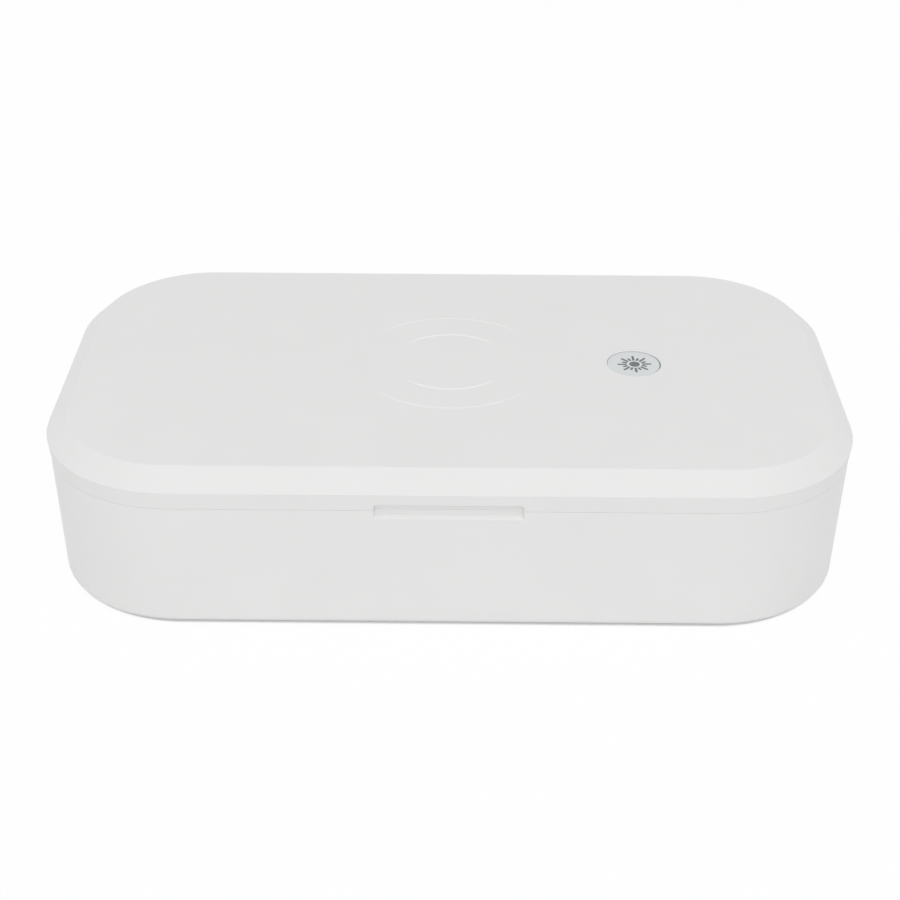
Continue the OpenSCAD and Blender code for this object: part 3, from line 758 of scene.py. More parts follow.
@dataclass
class Chamber:
    """What the phone lies in: the tray, its clear rails and the panel over it."""

    tray_t: float = 1.4
    out_r: float = 32.4
    in_r: float = 31.0
    lip_out: float = 33.65
    lip_in: float = 32.25
    lip_z: float = 38.4
    seat_r: float = 35.0
    floor_round: float = 5.0
    window_round: float = 1.2
    rail_l: float = 62.0
    rail_t: float = 2.4
    rail_h: float = 3.0
    rail_step: float = 44.0
    panel_r: float = 33.7
    post_low: float = 7.2
    post_r: float = 3.5
    post_bore: float = 1.35
    screw_head_r: float = 2.2
    screw_r: float = 1.1

    def _window(self, solid: bpy.types.Object, side: int, z: float) -> None:
        """Cut the slot that one lamp's trough looks through."""
        middle = (0, CASE.mid_y + side * CASE.lamp_y, z)
        slot = Bench.block("slot", middle, (CASE.trough_l, CASE.trough_w, 6.0), self.window_round, True)
        Bench.combine(solid, slot, Join.CUT)

    def tray(self) -> bpy.types.Object:
        """Make the tray, which seats on the tub's rim and lines the chamber.

        Returns:
            The tray, with its raised lip, rounded floor, lamp slots and screw posts.
        """
        seat_z = CASE.split_z - 1.6
        ledge_z = CASE.split_z - 0.1
        wall_in = self.in_r - 1.0
        over = [
            (self.seat_r, seat_z + 0.5, 0),
            (self.seat_r, ledge_z, 0.25),
            (self.lip_out, ledge_z, 0.15),
            (self.lip_out, self.lip_z, 0.35),
            (self.lip_in, self.lip_z, 0.35),
            (self.in_r, CASE.split_z - 1.0, 2.5),
            (wall_in, CASE.tray_z, self.floor_round - self.tray_t),
            (wall_in - 8.0, CASE.tray_z, 0),
        ]
        under = [
            (self.seat_r, seat_z + 0.5, 0),
            (self.seat_r, seat_z, 0.2),
            (self.out_r, seat_z, 0.3),
            (self.out_r - 1.0, CASE.tray_z - self.tray_t, self.floor_round),
            (self.out_r - 9.0, CASE.tray_z - self.tray_t, 0),
        ]
        tray = Profile.shell("tray_liner", over, under)
        for x, y in CASE.foot_spots():
            top = CASE.tray_z - self.tray_t / 2
            post = Bench.rod("post", (x, y, (self.post_low + top) / 2), self.post_r, top - self.post_low)
            Bench.combine(tray, post, Join.ADD)
            Bench.combine(tray, Bench.rod("bore", (x, y, 8.7), self.post_bore, 5.0, sides=24), Join.CUT)
        for side in (-1, 1):
            self._window(tray, side, CASE.tray_z - self.tray_t / 2)
        self._soften_windows(tray, CASE.tray_z)
        Bench.tidy(tray)
        return tray

    def _soften_windows(self, solid: bpy.types.Object, z: float) -> None:
        """Round the edges that the lamp slots leave in a face at one height."""
        Bench.edit(solid)
        reach_x = CASE.trough_l / 2 + 0.1
        reach_y = CASE.trough_w / 2 + 0.1

        def on_slot(middle: Vector, _: Vector) -> bool:
            """Whether an edge runs round a slot in the face."""
            across = abs(abs(middle.y - CASE.mid_y) - CASE.lamp_y)
            return abs(middle.z - z) < 0.01 and abs(middle.x) < reach_x and across < reach_y

        Bench.pick_edges(solid, on_slot)
        bpy.ops.mesh.bevel(offset=0.3 * MM, segments=3, affect="EDGES")
        Bench.close()

    def rails(self) -> bpy.types.Object:
        """Make the four clear rails that hold the phone off the tray's floor.

        Returns:
            The rails, as one piece.
        """
        top_z = CASE.tray_z + self.rail_h
        end_y = self.rail_l / 2 - 0.1

        def at_end(middle: Vector, _: Vector) -> bool:
            """Whether an edge lies at an end of a rail, off the tray's floor."""
            return abs(middle.y - CASE.mid_y) > end_y and middle.z > CASE.tray_z + 0.1

        rails = []
        for number in range(4):
            x = (number - 1.5) * self.rail_step
            middle = (x, CASE.mid_y, CASE.tray_z + self.rail_h / 2)
            rail = Bench.block(f"rail_{number}", middle, (self.rail_t, self.rail_l, self.rail_h))
            Bench.edit(rail)
            Bench.pick_edges(rail, lambda middle, way: middle.z > top_z - 0.1 and abs(way.y) > 0.9)
            bpy.ops.mesh.bevel(offset=self.rail_t * 0.48 * MM, segments=8, affect="EDGES")
            bpy.ops.mesh.select_all(action="DESELECT")
            Bench.pick_edges(rail, at_end)
            bpy.ops.mesh.bevel(offset=0.35 * MM, segments=3, affect="EDGES")
            Bench.close()
            rails.append(rail)
        return Bench.merge(*rails, name="clear_rails")

    def panel(self, screw_spots: Iterable[Spot]) -> bpy.types.Object:
        """Make the panel that closes the cover from below.

        Args:
            screw_spots: Where its screws go, from the case's middle.

        Returns:
            The panel, with its lamp slots and countersunk screw seats.
        """
        low, high = CASE.panel_z, CASE.panel_top
        over = [
            (self.panel_r, (low + high) / 2, 0),
            (self.panel_r, high, 0.2),
            (self.panel_r - 5.0, high, 0),
        ]
        under = [
            (self.panel_r, (low + high) / 2, 0),
            (self.panel_r, low, 0.45),
            (self.panel_r - 5.0, low, 0),
        ]
        panel = Profile.shell("lid_liner", over, under)
        for side in (-1, 1):
            self._window(panel, side, (low + high) / 2)
        for x, y in screw_spots:
            y += CASE.mid_y
            Bench.combine(panel, Bench.rod("seat", (x, y, low), self.screw_head_r, 2.0), Join.CUT)
            Bench.combine(panel, Bench.rod("hole", (x, y, low + 1.5), self.screw_r, 4.0, sides=24), Join.CUT)
        for x in (-50.0, 50.0):
            pocket = Bench.block("pocket", (x, CASE.mid_y - 56.8, high), (12.2, 2.0, 2.0))
            Bench.combine(panel, pocket, Join.CUT)
        self._soften_windows(panel, low)
        Bench.tidy(panel)
        return panel


@dataclass
class Lamps:
    """The four thin lamps, each a glass tube with an electrode at both ends."""

    length: float = 150.0
    tube_r: float = 2.0
    glass_t: float = 0.5
    sink: float = 2.7
    electrode_r: float = 1.0
    electrode_l: float = 9.0
    lead_r: float = 0.3

    def seats(self) -> dict[str, Corner]:
        """The middle of each lamp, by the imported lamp's name."""
        low = CASE.tray_z - self.sink + 0.2
        high = CASE.panel_z + self.sink
        front, rear = CASE.mid_y - CASE.lamp_y, CASE.mid_y + CASE.lamp_y
        return {
            "base_lamp_front": (0, front, low),
            "base_lamp_rear": (0, rear, low),
            "lid_lamp_front": (0, front, high),
            "lid_lamp_rear": (0, rear, high),
        }

    def tube(self) -> bpy.types.Object:
        """Make one clear tube at the origin, along X, with drawn-in, sealed ends.

        Returns:
            The tube, with an outer and an inner wall.
        """
        tube = Bench.rod("tube", (0, 0, 0), self.tube_r, self.length - 4.0, "X", sides=32)
        Bench.edit(tube)
        Bench.pick_faces(tube, lambda _, normal: abs(normal.x) > 0.9)
        for thickness, depth in ((0.12, 0.7), (0.35, 0.7), (0.55, 0.4)):
            Bench.inset(thickness, depth, individual=True)
        Bench.close()
        wall = tube.modifiers.new("glass_wall", "SOLIDIFY")
        wall.thickness = self.glass_t * MM
        wall.offset = -1
        Bench.activate(tube)
        bpy.ops.object.modifier_apply(modifier=wall.name)
        return tube

    def electrodes(self) -> bpy.types.Object:
        """Make the pair of metal cups inside a tube, with the lead that leaves each end.

        Returns:
            The cups and leads, as one mesh at the origin.
        """
        parts = []
        for side in (-1, 1):
            x = side * (self.length / 2 - 5.0 - self.electrode_l / 2)
            cup = Bench.rod("cup", (x, 0, 0), self.electrode_r, self.electrode_l, "X", sides=20)
            Bench.edit(cup)
            Bench.pick_faces(cup, lambda _, normal, way=-side: normal.x * way > 0.9)
            Bench.inset(0.2)
            Bench.inset(0.02, -0.8 * self.electrode_l)
            Bench.close()
            lead_x = side * (self.length / 2 - 3.0)
            lead = Bench.rod("lead", (lead_x, 0, 0), self.lead_r, 5.6, "X", sides=12, rounding=0.1)
            parts += [cup, lead]
        return Bench.merge(*parts)


@dataclass
class Fastener:
    """A pan-head screw with a cross recess, its head looking down."""

    head_r: float = 2.0
    head_h: float = 1.0
    shank_r: float = 1.0
    shank_l: float = 5.3
    recess_w: float = 0.55
    recess_deep: float = 0.65
    thread_pitch: float = 0.8
    thread_deep: float = 0.12
    turn_step: float = 23.0

    def screw(self) -> bpy.types.Object:
        """Make one screw under the origin's plane, with its head's lowest face at z = 0.

        Returns:
            The screw.
        """
        head = Bench.rod("screw", (0, 0, self.head_h / 2), self.head_r, self.head_h, sides=40)
        Bench.edit(head)
        Bench.pick_edges(head, lambda middle, way: middle.z < 0.01 and abs(way.z) < 0.1)
        bpy.ops.mesh.bevel(offset=0.45 * MM, segments=4, affect="EDGES")
        bpy.ops.mesh.select_mode(type="FACE")
        Bench.pick_faces(head, lambda _, normal: normal.z > 0.9)
        Bench.inset(self.head_r - self.shank_r)
        for _ in range(int((self.shank_l - 1.0) / self.thread_pitch)):
            Bench.inset(self.thread_deep, self.thread_pitch / 2)
            bpy.ops.mesh.extrude_region_move(TRANSFORM_OT_translate={"value": (0, 0, self.thread_pitch / 2 * MM)})
            widen = self.shank_r / (self.shank_r - self.thread_deep)
            bpy.ops.transform.resize(value=(widen, widen, 1), center_override=(0, 0, 0))
        Bench.inset(0.6, 0.6)
        Bench.close()
        reach = 1.3 * self.head_r
        for sides in ((reach, self.recess_w), (self.recess_w, reach)):
            slot = Bench.block("slot", (0, 0, 0), (*sides, 2 * self.recess_deep))
            Bench.edit(slot)
            Bench.pick_faces(slot, lambda _, normal: normal.z > 0.9)
            bpy.ops.transform.resize(value=(0.6, 0.6, 1), center_override=(0, 0, 0))
            Bench.close()
            Bench.combine(head, slot, Join.CUT)
        Bench.tidy(head)
        return head

    def set_of(self, name: str, spots: Iterable[Corner]) -> bpy.types.Object:
        """Copy the screw to several places, each turned a little further than the last.

        Args:
            name: The set's name.
            spots: Where each head's lowest point goes.

        Returns:
            All the screws, as one piece.
        """
        pattern = self.screw()
        made = []
        for number, spot in enumerate(spots):
            twin = Bench.copied(pattern, f"{name}_{number}")
            Bench.edit(twin, whole=True)
            bpy.ops.transform.rotate(value=math.radians(self.turn_step * number), orient_axis="Z", center_override=(0, 0, 0))
            bpy.ops.transform.translate(value=[s * MM for s in spot])
            Bench.close()
            made.append(twin)
        bpy.data.objects.remove(pattern)
        return Bench.merge(*made, name=name)


@dataclass
class Button:
    """The round push button, with a small sun printed on it."""

    cap_r: float = 7.5
    top_z: float = 47.0
    thick: float = 1.5
    edge_round: float = 0.12
    off: Spot = (-0.09, 0.09)
    flange_r: float = 8.8
    flange_z: float = 44.4
    flange_h: float = 0.8
    skirt_in_r: float = 6.4
    stem_r: float = 2.0
    stem_z: float = 44.6
    disc_r: float = 1.5
    rays: int = 16
    ray_from: float = 2.2
    long_to: float = 4.9
    short_to: float = 3.7
    ray_w: float = 0.66
    ink_t: float = 0.04
    turn: float = 2.5
    plunger_round: float = 0.15
    plunger_clear: float = 0.03
    print_aside: float = 0.2
    print_back: float = 0.05

    def cap(self) -> bpy.types.Object:
        """Make the cap with its skirt, the flange that keeps it in, and its stem.

        Returns:
            The cap.
        """
        middle = (CASE.button_x + self.off[0], CASE.mid_y + self.off[1])
        cap = Bench.rod("cap", (*middle, self.flange_z + self.flange_h / 2), self.flange_r, self.flange_h, sides=96)
        Bench.edit(cap)
        Bench.pick_faces(cap, lambda _, normal: normal.z > 0.9)
        Bench.inset(self.flange_r - self.cap_r)
        rise = self.top_z - self.edge_round - self.flange_z - self.flange_h
        Bench.inset(0.0, rise)
        last = 0.0
        for step in range(1, 7):
            angle = math.radians(15 * step)
            inward = self.edge_round * (1 - math.cos(angle))
            up = self.edge_round * (math.sin(angle) - math.sin(math.radians(15 * (step - 1))))
            Bench.inset(inward - last, up)
            last = inward
        Bench.inset(2.0, -0.02)
        Bench.inset(2.5, -0.03)
        Bench.pick_faces(cap, lambda _, normal: normal.z < -0.9)
        Bench.inset(self.flange_r - self.skirt_in_r)
        deep = self.top_z - self.thick - self.flange_z
        Bench.inset(0.0, -deep)
        Bench.inset(self.skirt_in_r - self.stem_r)
        Bench.inset(0.0, deep - self.stem_z + self.flange_z)
        Bench.close()
        Bench.tidy(cap)
        cap.name = cap.data.name = "push_cap"
        return cap

    def plunger(self) -> bpy.types.Object:
        """Make the switch's stem, with rounded ends that just clear the switch when it is pressed.

        Returns:
            The stem.
        """
        stem = Bench.softened("switch_stem", "switch_plunger", self.plunger_round)
        lower_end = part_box("switch_stem")[0][2] / MM + self.plunger_round
        Bench.edit(stem)
        Bench.pick_faces(stem, lambda middle, _: middle.z < lower_end)
        bpy.ops.transform.translate(value=(0, 0, self.plunger_clear * MM))
        Bench.close()
        return stem

    def sun(self) -> bpy.types.Object:
        """Print the small sun: a disc with sixteen rays, long and short in turn.

        Returns:
            The print, a film that stands on the cap.
        """
        middle = (CASE.button_x + self.print_aside, CASE.mid_y + self.print_back)
        centre = (middle[0] * MM, middle[1] * MM, 0)
        z = self.top_z - 0.05 + self.ink_t / 2 + 0.01
        parts = [Bench.rod("disc", (*middle, z), self.disc_r, self.ink_t, sides=40)]
        for number in range(self.rays):
            outer = self.short_to if number % 2 else self.long_to
            length = outer - self.ray_from
            reach = (self.ray_from + outer) / 2
            place = (middle[0] + reach, middle[1], z)
            ray = Bench.block(f"ray_{number}", place, (length, self.ray_w, self.ink_t), self.ray_w * 0.42, True)
            Bench.edit(ray, whole=True)
            angle = -math.radians(360 / self.rays * number + self.turn)
            bpy.ops.transform.rotate(value=angle, orient_axis="Z", center_override=centre)
            Bench.close()
            parts.append(ray)
        return Bench.merge(*parts, name="sun_print")


@dataclass
class Inlet:
    """The power inlet that a charging lead's plug goes into: a metal shell round a contact tongue."""

    width: float = 9.0
    height: float = 3.2
    length: float = 7.4
    metal_t: float = 0.3
    face_y: float = 58.5
    tongue_w: float = 6.6
    tongue_h: float = 0.7
    contacts: int = 8
    contact_pitch: float = 0.7

    def shell(self) -> bpy.types.Object:
        """Make the metal shell, open towards the rear wall.

        Returns:
            The shell.
        """
        back_y = self.face_y - self.length
        shell = Bench.pill("inlet_shell", self.width, self.height, back_y, self.face_y)
        Bench.edit(shell)
        Bench.pick_faces(shell, lambda _, normal: normal.y > 0.9)
        Bench.inset(self.metal_t)
        bpy.ops.mesh.extrude_region_move(TRANSFORM_OT_translate={"value": (0, -(self.length - 1.0) * MM, 0)})
        Bench.close()
        Bench.tidy(shell)
        Bench.bevelled(shell, 0.08, segments=2, angle=50)
        return shell

    def tongue(self) -> bpy.types.Object:
        """Make the plastic tongue inside the shell."""
        return Bench.block(
            "inlet_tongue", (0, self.face_y - 3.9, CASE.plug_z), (self.tongue_w, 5.4, self.tongue_h), 0.16
        )

    def pads(self) -> bpy.types.Object:
        """Make the row of contacts on both faces of the tongue.

        Returns:
            The contacts, as one piece.
        """
        made = []
        for number in range(self.contacts):
            x = (number - (self.contacts - 1) / 2) * self.contact_pitch
            for side in (-1, 1):
                z = CASE.plug_z + side * self.tongue_h / 2
                made.append(Bench.block(f"pad_{number}_{side}", (x, self.face_y - 3.6, z), (0.34, 4.2, 0.06), 0.02))
        return Bench.merge(*made, name="inlet_contacts")


@dataclass
class Winding:
    """The charging coil: flat turns of wire side by side."""

    in_r: float = 10.4
    out_r: float = 20.6
    wire_r: float = 0.5
    z: float = 44.7

    def turns(self) -> bpy.types.Object:
        """Make the turns, one ring of wire inside the next.

        Returns:
            The coil, as one piece.
        """
        made = []
        count = int((self.out_r - self.in_r) / (2 * self.wire_r + 0.02))
        for number in range(count + 1):
            radius = self.in_r + number * (self.out_r - self.in_r) / count
            Bench.clear()
            bpy.ops.mesh.primitive_torus_add(
                location=(0, CASE.mid_y * MM, self.z * MM), major_radius=radius * MM,
                minor_radius=self.wire_r * MM, major_segments=72, minor_segments=8,
            )
            ring = Bench.named(f"turn_{number}")
            Bench.edit(ring, whole=True)
            bpy.ops.transform.resize(value=(1, 1, 1.1), center_override=(0, 0, self.z * MM))
            Bench.close()
            made.append(ring)
        return Bench.merge(*made, name="wound_coil")


class Graph:
    """Short ways to build a node tree."""

    def __init__(self, tree: bpy.types.NodeTree) -> None:
        """Keep the tree that the nodes go into."""
        self.tree = tree

    def add(self, kind: str, settings: dict[str, object] | None = None, **sockets: object) -> bpy.types.Node:
        """Add a node.

        Args:
            kind: The node's type, without its common first part.
            settings: Values of the node's own properties.
            **sockets: A value or a socket for each input, with spaces as underscores.

        Returns:
            The node.
        """
        node = self.tree.nodes.new("ShaderNode" + kind)
        for name, value in (settings or {}).items():
            setattr(node, name, value)
        for name, value in sockets.items():
            key = int(name[1:]) if name[0] == "_" else name.replace("_", " ")
            self.feed(node.inputs[key], value)
        return node

    def feed(self, socket: bpy.types.NodeSocket, value: object) -> None:
        """Link a socket, or set its value."""
        if isinstance(value, bpy.types.NodeSocket):
            self.tree.links.new(value, socket)
        else:
            socket.default_value = value

    def sum(self, operation: str, *values: object) -> bpy.types.NodeSocket:
        """Work out one number from others."""
        return self.add("Math", {"operation": operation}, **{f"_{i}": v for i, v in enumerate(values)}).outputs[0]

    def spread(self, value: object, from_low: float, from_high: float, low: float, high: float) -> bpy.types.NodeSocket:
        """Carry a number from one range to another, clamped."""
        return self.add(
            "MapRange", None, Value=value, From_Min=from_low, From_Max=from_high, To_Min=low, To_Max=high
        ).outputs[0]

    def mix(self, share: object, first: object, second: object) -> bpy.types.NodeSocket:
        """Mix two colours."""
        node = self.add("Mix", {"data_type": "RGBA"})
        self.feed(node.inputs[0], share)
        self.feed(node.inputs[6], first)
        self.feed(node.inputs[7], second)
        return node.outputs[2]


class Effect(Enum):
    """The shared patterns, each a node group."""

    GRAIN = "FineGrain"
    MOTTLE = "Mottle"
    BRUSHED = "BrushedLines"
    SPECKS = "Specks"


class Effects:
    """Builds each shared pattern once, and places it in a material."""

    @staticmethod
    def group(effect: Effect) -> bpy.types.NodeTree:
        """Find a pattern's node group, or build it.

        Args:
            effect: Which pattern.

        Returns:
            Its node group, which has a Vector, a Scale and an Amount, and puts out a Value.
        """
        found = bpy.data.node_groups.get(effect.value)
        if found:
            return found
        tree = bpy.data.node_groups.new(effect.value, "ShaderNodeTree")
        for name, kind in (("Vector", "NodeSocketVector"), ("Scale", "NodeSocketFloat"), ("Amount", "NodeSocketFloat")):
            tree.interface.new_socket(name, in_out="INPUT", socket_type=kind)
        tree.interface.new_socket("Value", in_out="OUTPUT", socket_type="NodeSocketFloat")
        graph = Graph(tree)
        source = tree.nodes.new("NodeGroupInput").outputs
        vector, scale, amount = source["Vector"], source["Scale"], source["Amount"]
        if effect is Effect.GRAIN:
            fine = graph.add("TexNoise", None, Vector=vector, Scale=scale, Detail=3.0, Roughness=0.6).outputs[0]
            coarse = graph.sum("MULTIPLY", scale, 0.6)
            pits = graph.add("TexVoronoi", {"feature": "SMOOTH_F1"}, Vector=vector, Scale=coarse)
            value = graph.sum("MULTIPLY", graph.sum("MULTIPLY_ADD", pits.outputs[0], 0.6, fine), amount)
        elif effect is Effect.MOTTLE:
            soft = graph.add("TexNoise", None, Vector=vector, Scale=scale, Detail=4.0, Roughness=0.5).outputs[0]
            value = graph.sum("MULTIPLY", graph.sum("SUBTRACT", soft, 0.5), amount)
        elif effect is Effect.BRUSHED:
            stretched = graph.add("Mapping", None, Vector=vector, Scale=(0.02, 1.0, 1.0)).outputs[0]
            lines = graph.add("TexNoise", None, Vector=stretched, Scale=scale, Detail=6.0, Roughness=0.7).outputs[0]
            value = graph.sum("MULTIPLY", lines, amount)
        else:
            cells = graph.add("TexVoronoi", None, Vector=vector, Scale=scale).outputs[0]
            value = graph.sum("MULTIPLY", graph.spread(cells, 0.0, 0.12, 1.0, 0.0), amount)
        graph.feed(tree.nodes.new("NodeGroupOutput").inputs["Value"], value)
        return tree

    @staticmethod
    def place(graph: Graph, effect: Effect, vector: object, scale: float, amount: float) -> bpy.types.NodeSocket:
        """Put a pattern into a material.

        Args:
            graph: The material's graph.
            effect: Which pattern.
            vector: Where it reads its coordinates.
            scale: How many of its marks fit in a metre.
            amount: How strong it is.

        Returns:
            The pattern's value.
        """
        node = graph.add("Group")
        node.node_tree = Effects.group(effect)
        graph.feed(node.inputs["Vector"], vector)
        graph.feed(node.inputs["Scale"], scale)
        graph.feed(node.inputs["Amount"], amount)
        return node.outputs["Value"]


@dataclass(frozen=True)
class Finish:
    """A moulded plastic or rubber: fine grain, faint cloudiness and an uneven sheen."""

    name: str
    slot: str
    colour: Colour
    roughness: float = 0.4
    cloud: float = 0.05
    cloud_scale: float = 45.0
    sheen_vary: float = 0.12
    grain_scale: float = 2600.0
    grain: float = 0.35
    relief: float = 0.00003
    metallic: float = 0.0
    sockets: dict[str, float] = field(default_factory=dict)

    def pattern(self, graph: Graph, vector: bpy.types.NodeSocket) -> tuple[object, object, object]:
        """Work out the colour, the roughness and the height of the surface.

        Args:
            graph: The material's graph.
            vector: The object's own coordinates.

        Returns:
            Colour, roughness and height.
        """
        cloud = Effects.place(graph, Effect.MOTTLE, vector, self.cloud_scale, 1.0)
        share = graph.spread(cloud, -0.25, 0.25, 0.0, 1.0)
        dark = tuple(c * (1 - self.cloud) for c in self.colour) + (1.0,)
        light = tuple(min(1.0, c * (1 + self.cloud * 0.5)) for c in self.colour) + (1.0,)
        sheen = Effects.place(graph, Effect.MOTTLE, vector, self.cloud_scale * 3.1, self.sheen_vary)
        rough = graph.sum("ADD", sheen, self.roughness)
        height = Effects.place(graph, Effect.GRAIN, vector, self.grain_scale, self.grain)
        return graph.mix(share, dark, light), rough, height

    def build(self) -> bpy.types.Material:
        """Build the material, or find it again.

        Returns:
            The material.
        """
        found = bpy.data.materials.get(self.name)
        if found:
            return found
        material = bpy.data.materials.new(self.name)
        material.use_nodes = True
        graph = Graph(material.node_tree)
        shader = material.node_tree.nodes["Principled BSDF"]
        vector = graph.add("TexCoord").outputs["Object"]
        colour, rough, height = self.pattern(graph, vector)
        graph.feed(shader.inputs["Base Color"], colour)
        graph.feed(shader.inputs["Roughness"], rough)
        bump = graph.add("Bump", None, Height=height, Strength=1.0, Distance=self.relief)
        graph.feed(shader.inputs["Normal"], bump.outputs[0])
        shader.inputs["Metallic"].default_value = self.metallic
        for name, value in self.sockets.items():
            shader.inputs[name].default_value = value
        return material


@dataclass(frozen=True)
class ArcHighlightPlastic(Finish):
    """The cover's plastic, with a painted highlight along each charging arc, bright where the arc runs across the box
    and fading towards its ends.
    """

    ring_radii: tuple[float, float] = (16.4, 27.0)
    highlight_strengths: tuple[float, float] = (0.85, 0.5)
    highlight_half_w: float = 0.42
    highlight_fade_tilts: tuple[float, float] = (0.62, 0.86)
    highlight_colour: Colour = (1.0, 1.0, 0.995)

    def pattern(self, graph: Graph, vector: bpy.types.NodeSocket) -> tuple[object, object, object]:
        """Lay the painted highlights along the arcs over the plain plastic.

        Args:
            graph: The material's graph.
            vector: The object's own coordinates.

        Returns:
            Colour, roughness and height.
        """
        colour, rough, height = super().pattern(graph, vector)
        # Painted highlight: a pale line along each arc, stronger where the arc runs across the box and fading where it
        # turns, standing in for light caught by the groove.
        centred = graph.add(
            "VectorMath", {"operation": "ADD"}, _0=vector, _1=(0, -CASE.mid_y * MM, -CASE.top_z * MM)
        ).outputs[0]
        axes = graph.add("SeparateXYZ", None, Vector=centred).outputs
        flat = graph.add("CombineXYZ", None, X=axes[0], Y=axes[1]).outputs[0]
        reach = graph.add("VectorMath", {"operation": "LENGTH"}, _0=flat).outputs["Value"]
        tilt = graph.sum("ABSOLUTE", graph.sum("DIVIDE", axes[1], graph.sum("ADD", reach, 1e-6)))
        near_top = graph.spread(axes[2], -0.5 * MM, -0.3 * MM, 0.0, 1.0)
        highlight_masks = []
        for radius, strength in zip(self.ring_radii, self.highlight_strengths):
            off = graph.sum("ABSOLUTE", graph.sum("SUBTRACT", reach, radius * MM))
            line = graph.spread(off, 0.15 * MM, self.highlight_half_w * MM, strength, 0.0)
            fade = graph.spread(tilt, *self.highlight_fade_tilts, 0.0, 1.0)
            highlight_masks.append(graph.sum("MULTIPLY", graph.sum("MULTIPLY", line, fade), near_top))
        mask = graph.sum("ADD", *highlight_masks)
        return graph.mix(mask, colour, (*self.highlight_colour, 1.0)), rough, height


@dataclass(frozen=True)
class SheetMetal(Finish):
    """Rolled or drawn metal with fine lines along X."""

    metallic: float = 1.0
    line_scale: float = 9000.0
    line_depth: float = 0.5

    def pattern(self, graph: Graph, vector: bpy.types.NodeSocket) -> tuple[object, object, object]:
        """Draw the lines into the sheen and the height.

        Args:
            graph: The material's graph.
            vector: The object's own coordinates.

        Returns:
            Colour, roughness and height.
        """
        colour, rough, _ = super().pattern(graph, vector)
        lines = Effects.place(graph, Effect.BRUSHED, vector, self.line_scale, self.line_depth)
        return colour, graph.sum("MULTIPLY_ADD", lines, 0.25, rough), lines


@dataclass(frozen=True)
class ClearGlass(Finish):
    """Clear glass or acrylic, which light passes through."""

    cloud: float = 0.01
    bend: float = 1.47

    def build(self) -> bpy.types.Material:
        """Build the material with its plain transmission, or find it again."""
        material = super().build()
        shader = material.node_tree.nodes["Principled BSDF"]
        shader.inputs["Transmission Weight"].default_value = 1.0
        shader.inputs["IOR"].default_value = self.bend
        return material


@dataclass(frozen=True)
class PrintedBoard(Finish):
    """A circuit board: solder mask over paler tracks, with plated holes."""

    track: Colour = (0.09, 0.42, 0.24)

    def pattern(self, graph: Graph, vector: bpy.types.NodeSocket) -> tuple[object, object, object]:
        """Draw tracks and holes.

        Args:
            graph: The material's graph.
            vector: The object's own coordinates.

        Returns:
            Colour, roughness and height.
        """
        colour, rough, height = super().pattern(graph, vector)
        brick = graph.add("TexBrick", None, Vector=vector, Scale=260.0, Mortar_Size=0.06).outputs["Fac"]
        holes = Effects.place(graph, Effect.SPECKS, vector, 320.0, 1.0)
        tracked = graph.mix(brick, colour, (*self.track, 1.0))
        return graph.mix(holes, tracked, (0.75, 0.68, 0.5, 1.0)), rough, graph.sum("ADD", height, brick)


SHELL_WHITE = (0.83, 0.83, 0.826)
SATIN = {"Specular IOR Level": 0.2}


class Paint(Enum):
    """Every finish on the box."""

    # The cover's finish carries painted highlights along the charging arcs.
    COVER = ArcHighlightPlastic("cover_white", "white_shell", SHELL_WHITE, roughness=0.42, cloud=0.012, sockets=SATIN)
    TUB = Finish("tub_white", "white_shell", SHELL_WHITE, roughness=0.42, cloud=0.012, sockets=SATIN)
    TRAY = Finish("tray_pale_grey", "tray_plastic", (0.70, 0.715, 0.73), roughness=0.3, cloud=0.02)
    ACRYLIC = ClearGlass(
        "rail_acrylic", "clear_acrylic", (0.96, 0.98, 0.985), roughness=0.04, sheen_vary=0.03, relief=0.000002
    )
    QUARTZ = ClearGlass(
        "lamp_quartz", "lamp_glass", (0.96, 0.975, 1.0), roughness=0.02, sheen_vary=0.02, relief=0.000001
    )
    MIRROR = SheetMetal("reflector_sheet", "reflector", (0.88, 0.89, 0.90), roughness=0.14, cloud=0.03)
    STEEL = SheetMetal("plated_steel", "steel", (0.62, 0.62, 0.63), roughness=0.26, cloud=0.06)
    ELECTRODE = SheetMetal("electrode_nickel", "steel", (0.5, 0.48, 0.45), roughness=0.35, cloud=0.1)
    MAGNET = SheetMetal("magnet_nickel", "plated_magnet", (0.68, 0.68, 0.69), roughness=0.12, cloud=0.03)
    SILICONE = Finish("lamp_silicone", "silicone", (0.82, 0.82, 0.80), roughness=0.62, cloud=0.04, grain_scale=3400.0)
    RUBBER = Finish(
        "foot_rubber", "foot_rubber", (0.22, 0.22, 0.23), roughness=0.7, cloud=0.08, grain_scale=3800.0, grain=0.6
    )
    BLACK = Finish("black_moulding", "black_plastic", (0.035, 0.035, 0.038), roughness=0.45, cloud=0.15)
    BOARD = PrintedBoard("board_green", "circuit_board", (0.035, 0.2, 0.1), roughness=0.3, cloud=0.1)
    WIRE = SheetMetal("enamelled_wire", "copper_wire", (0.72, 0.36, 0.17), roughness=0.28, cloud=0.1)
    FERRITE = Finish("ferrite_block", "ferrite", (0.06, 0.06, 0.062), roughness=0.6, cloud=0.25, grain=0.8)
    CAP = Finish("cap_cool_grey", "button_grey", (0.71, 0.74, 0.747), roughness=0.34, cloud=0.012)
    INK = Finish("sun_ink", "button_grey", (0.16, 0.165, 0.17), roughness=0.5, cloud=0.06, grain_scale=5200.0)
    GOLD = SheetMetal("contact_gold", "steel", (0.9, 0.66, 0.3), roughness=0.2, cloud=0.05)


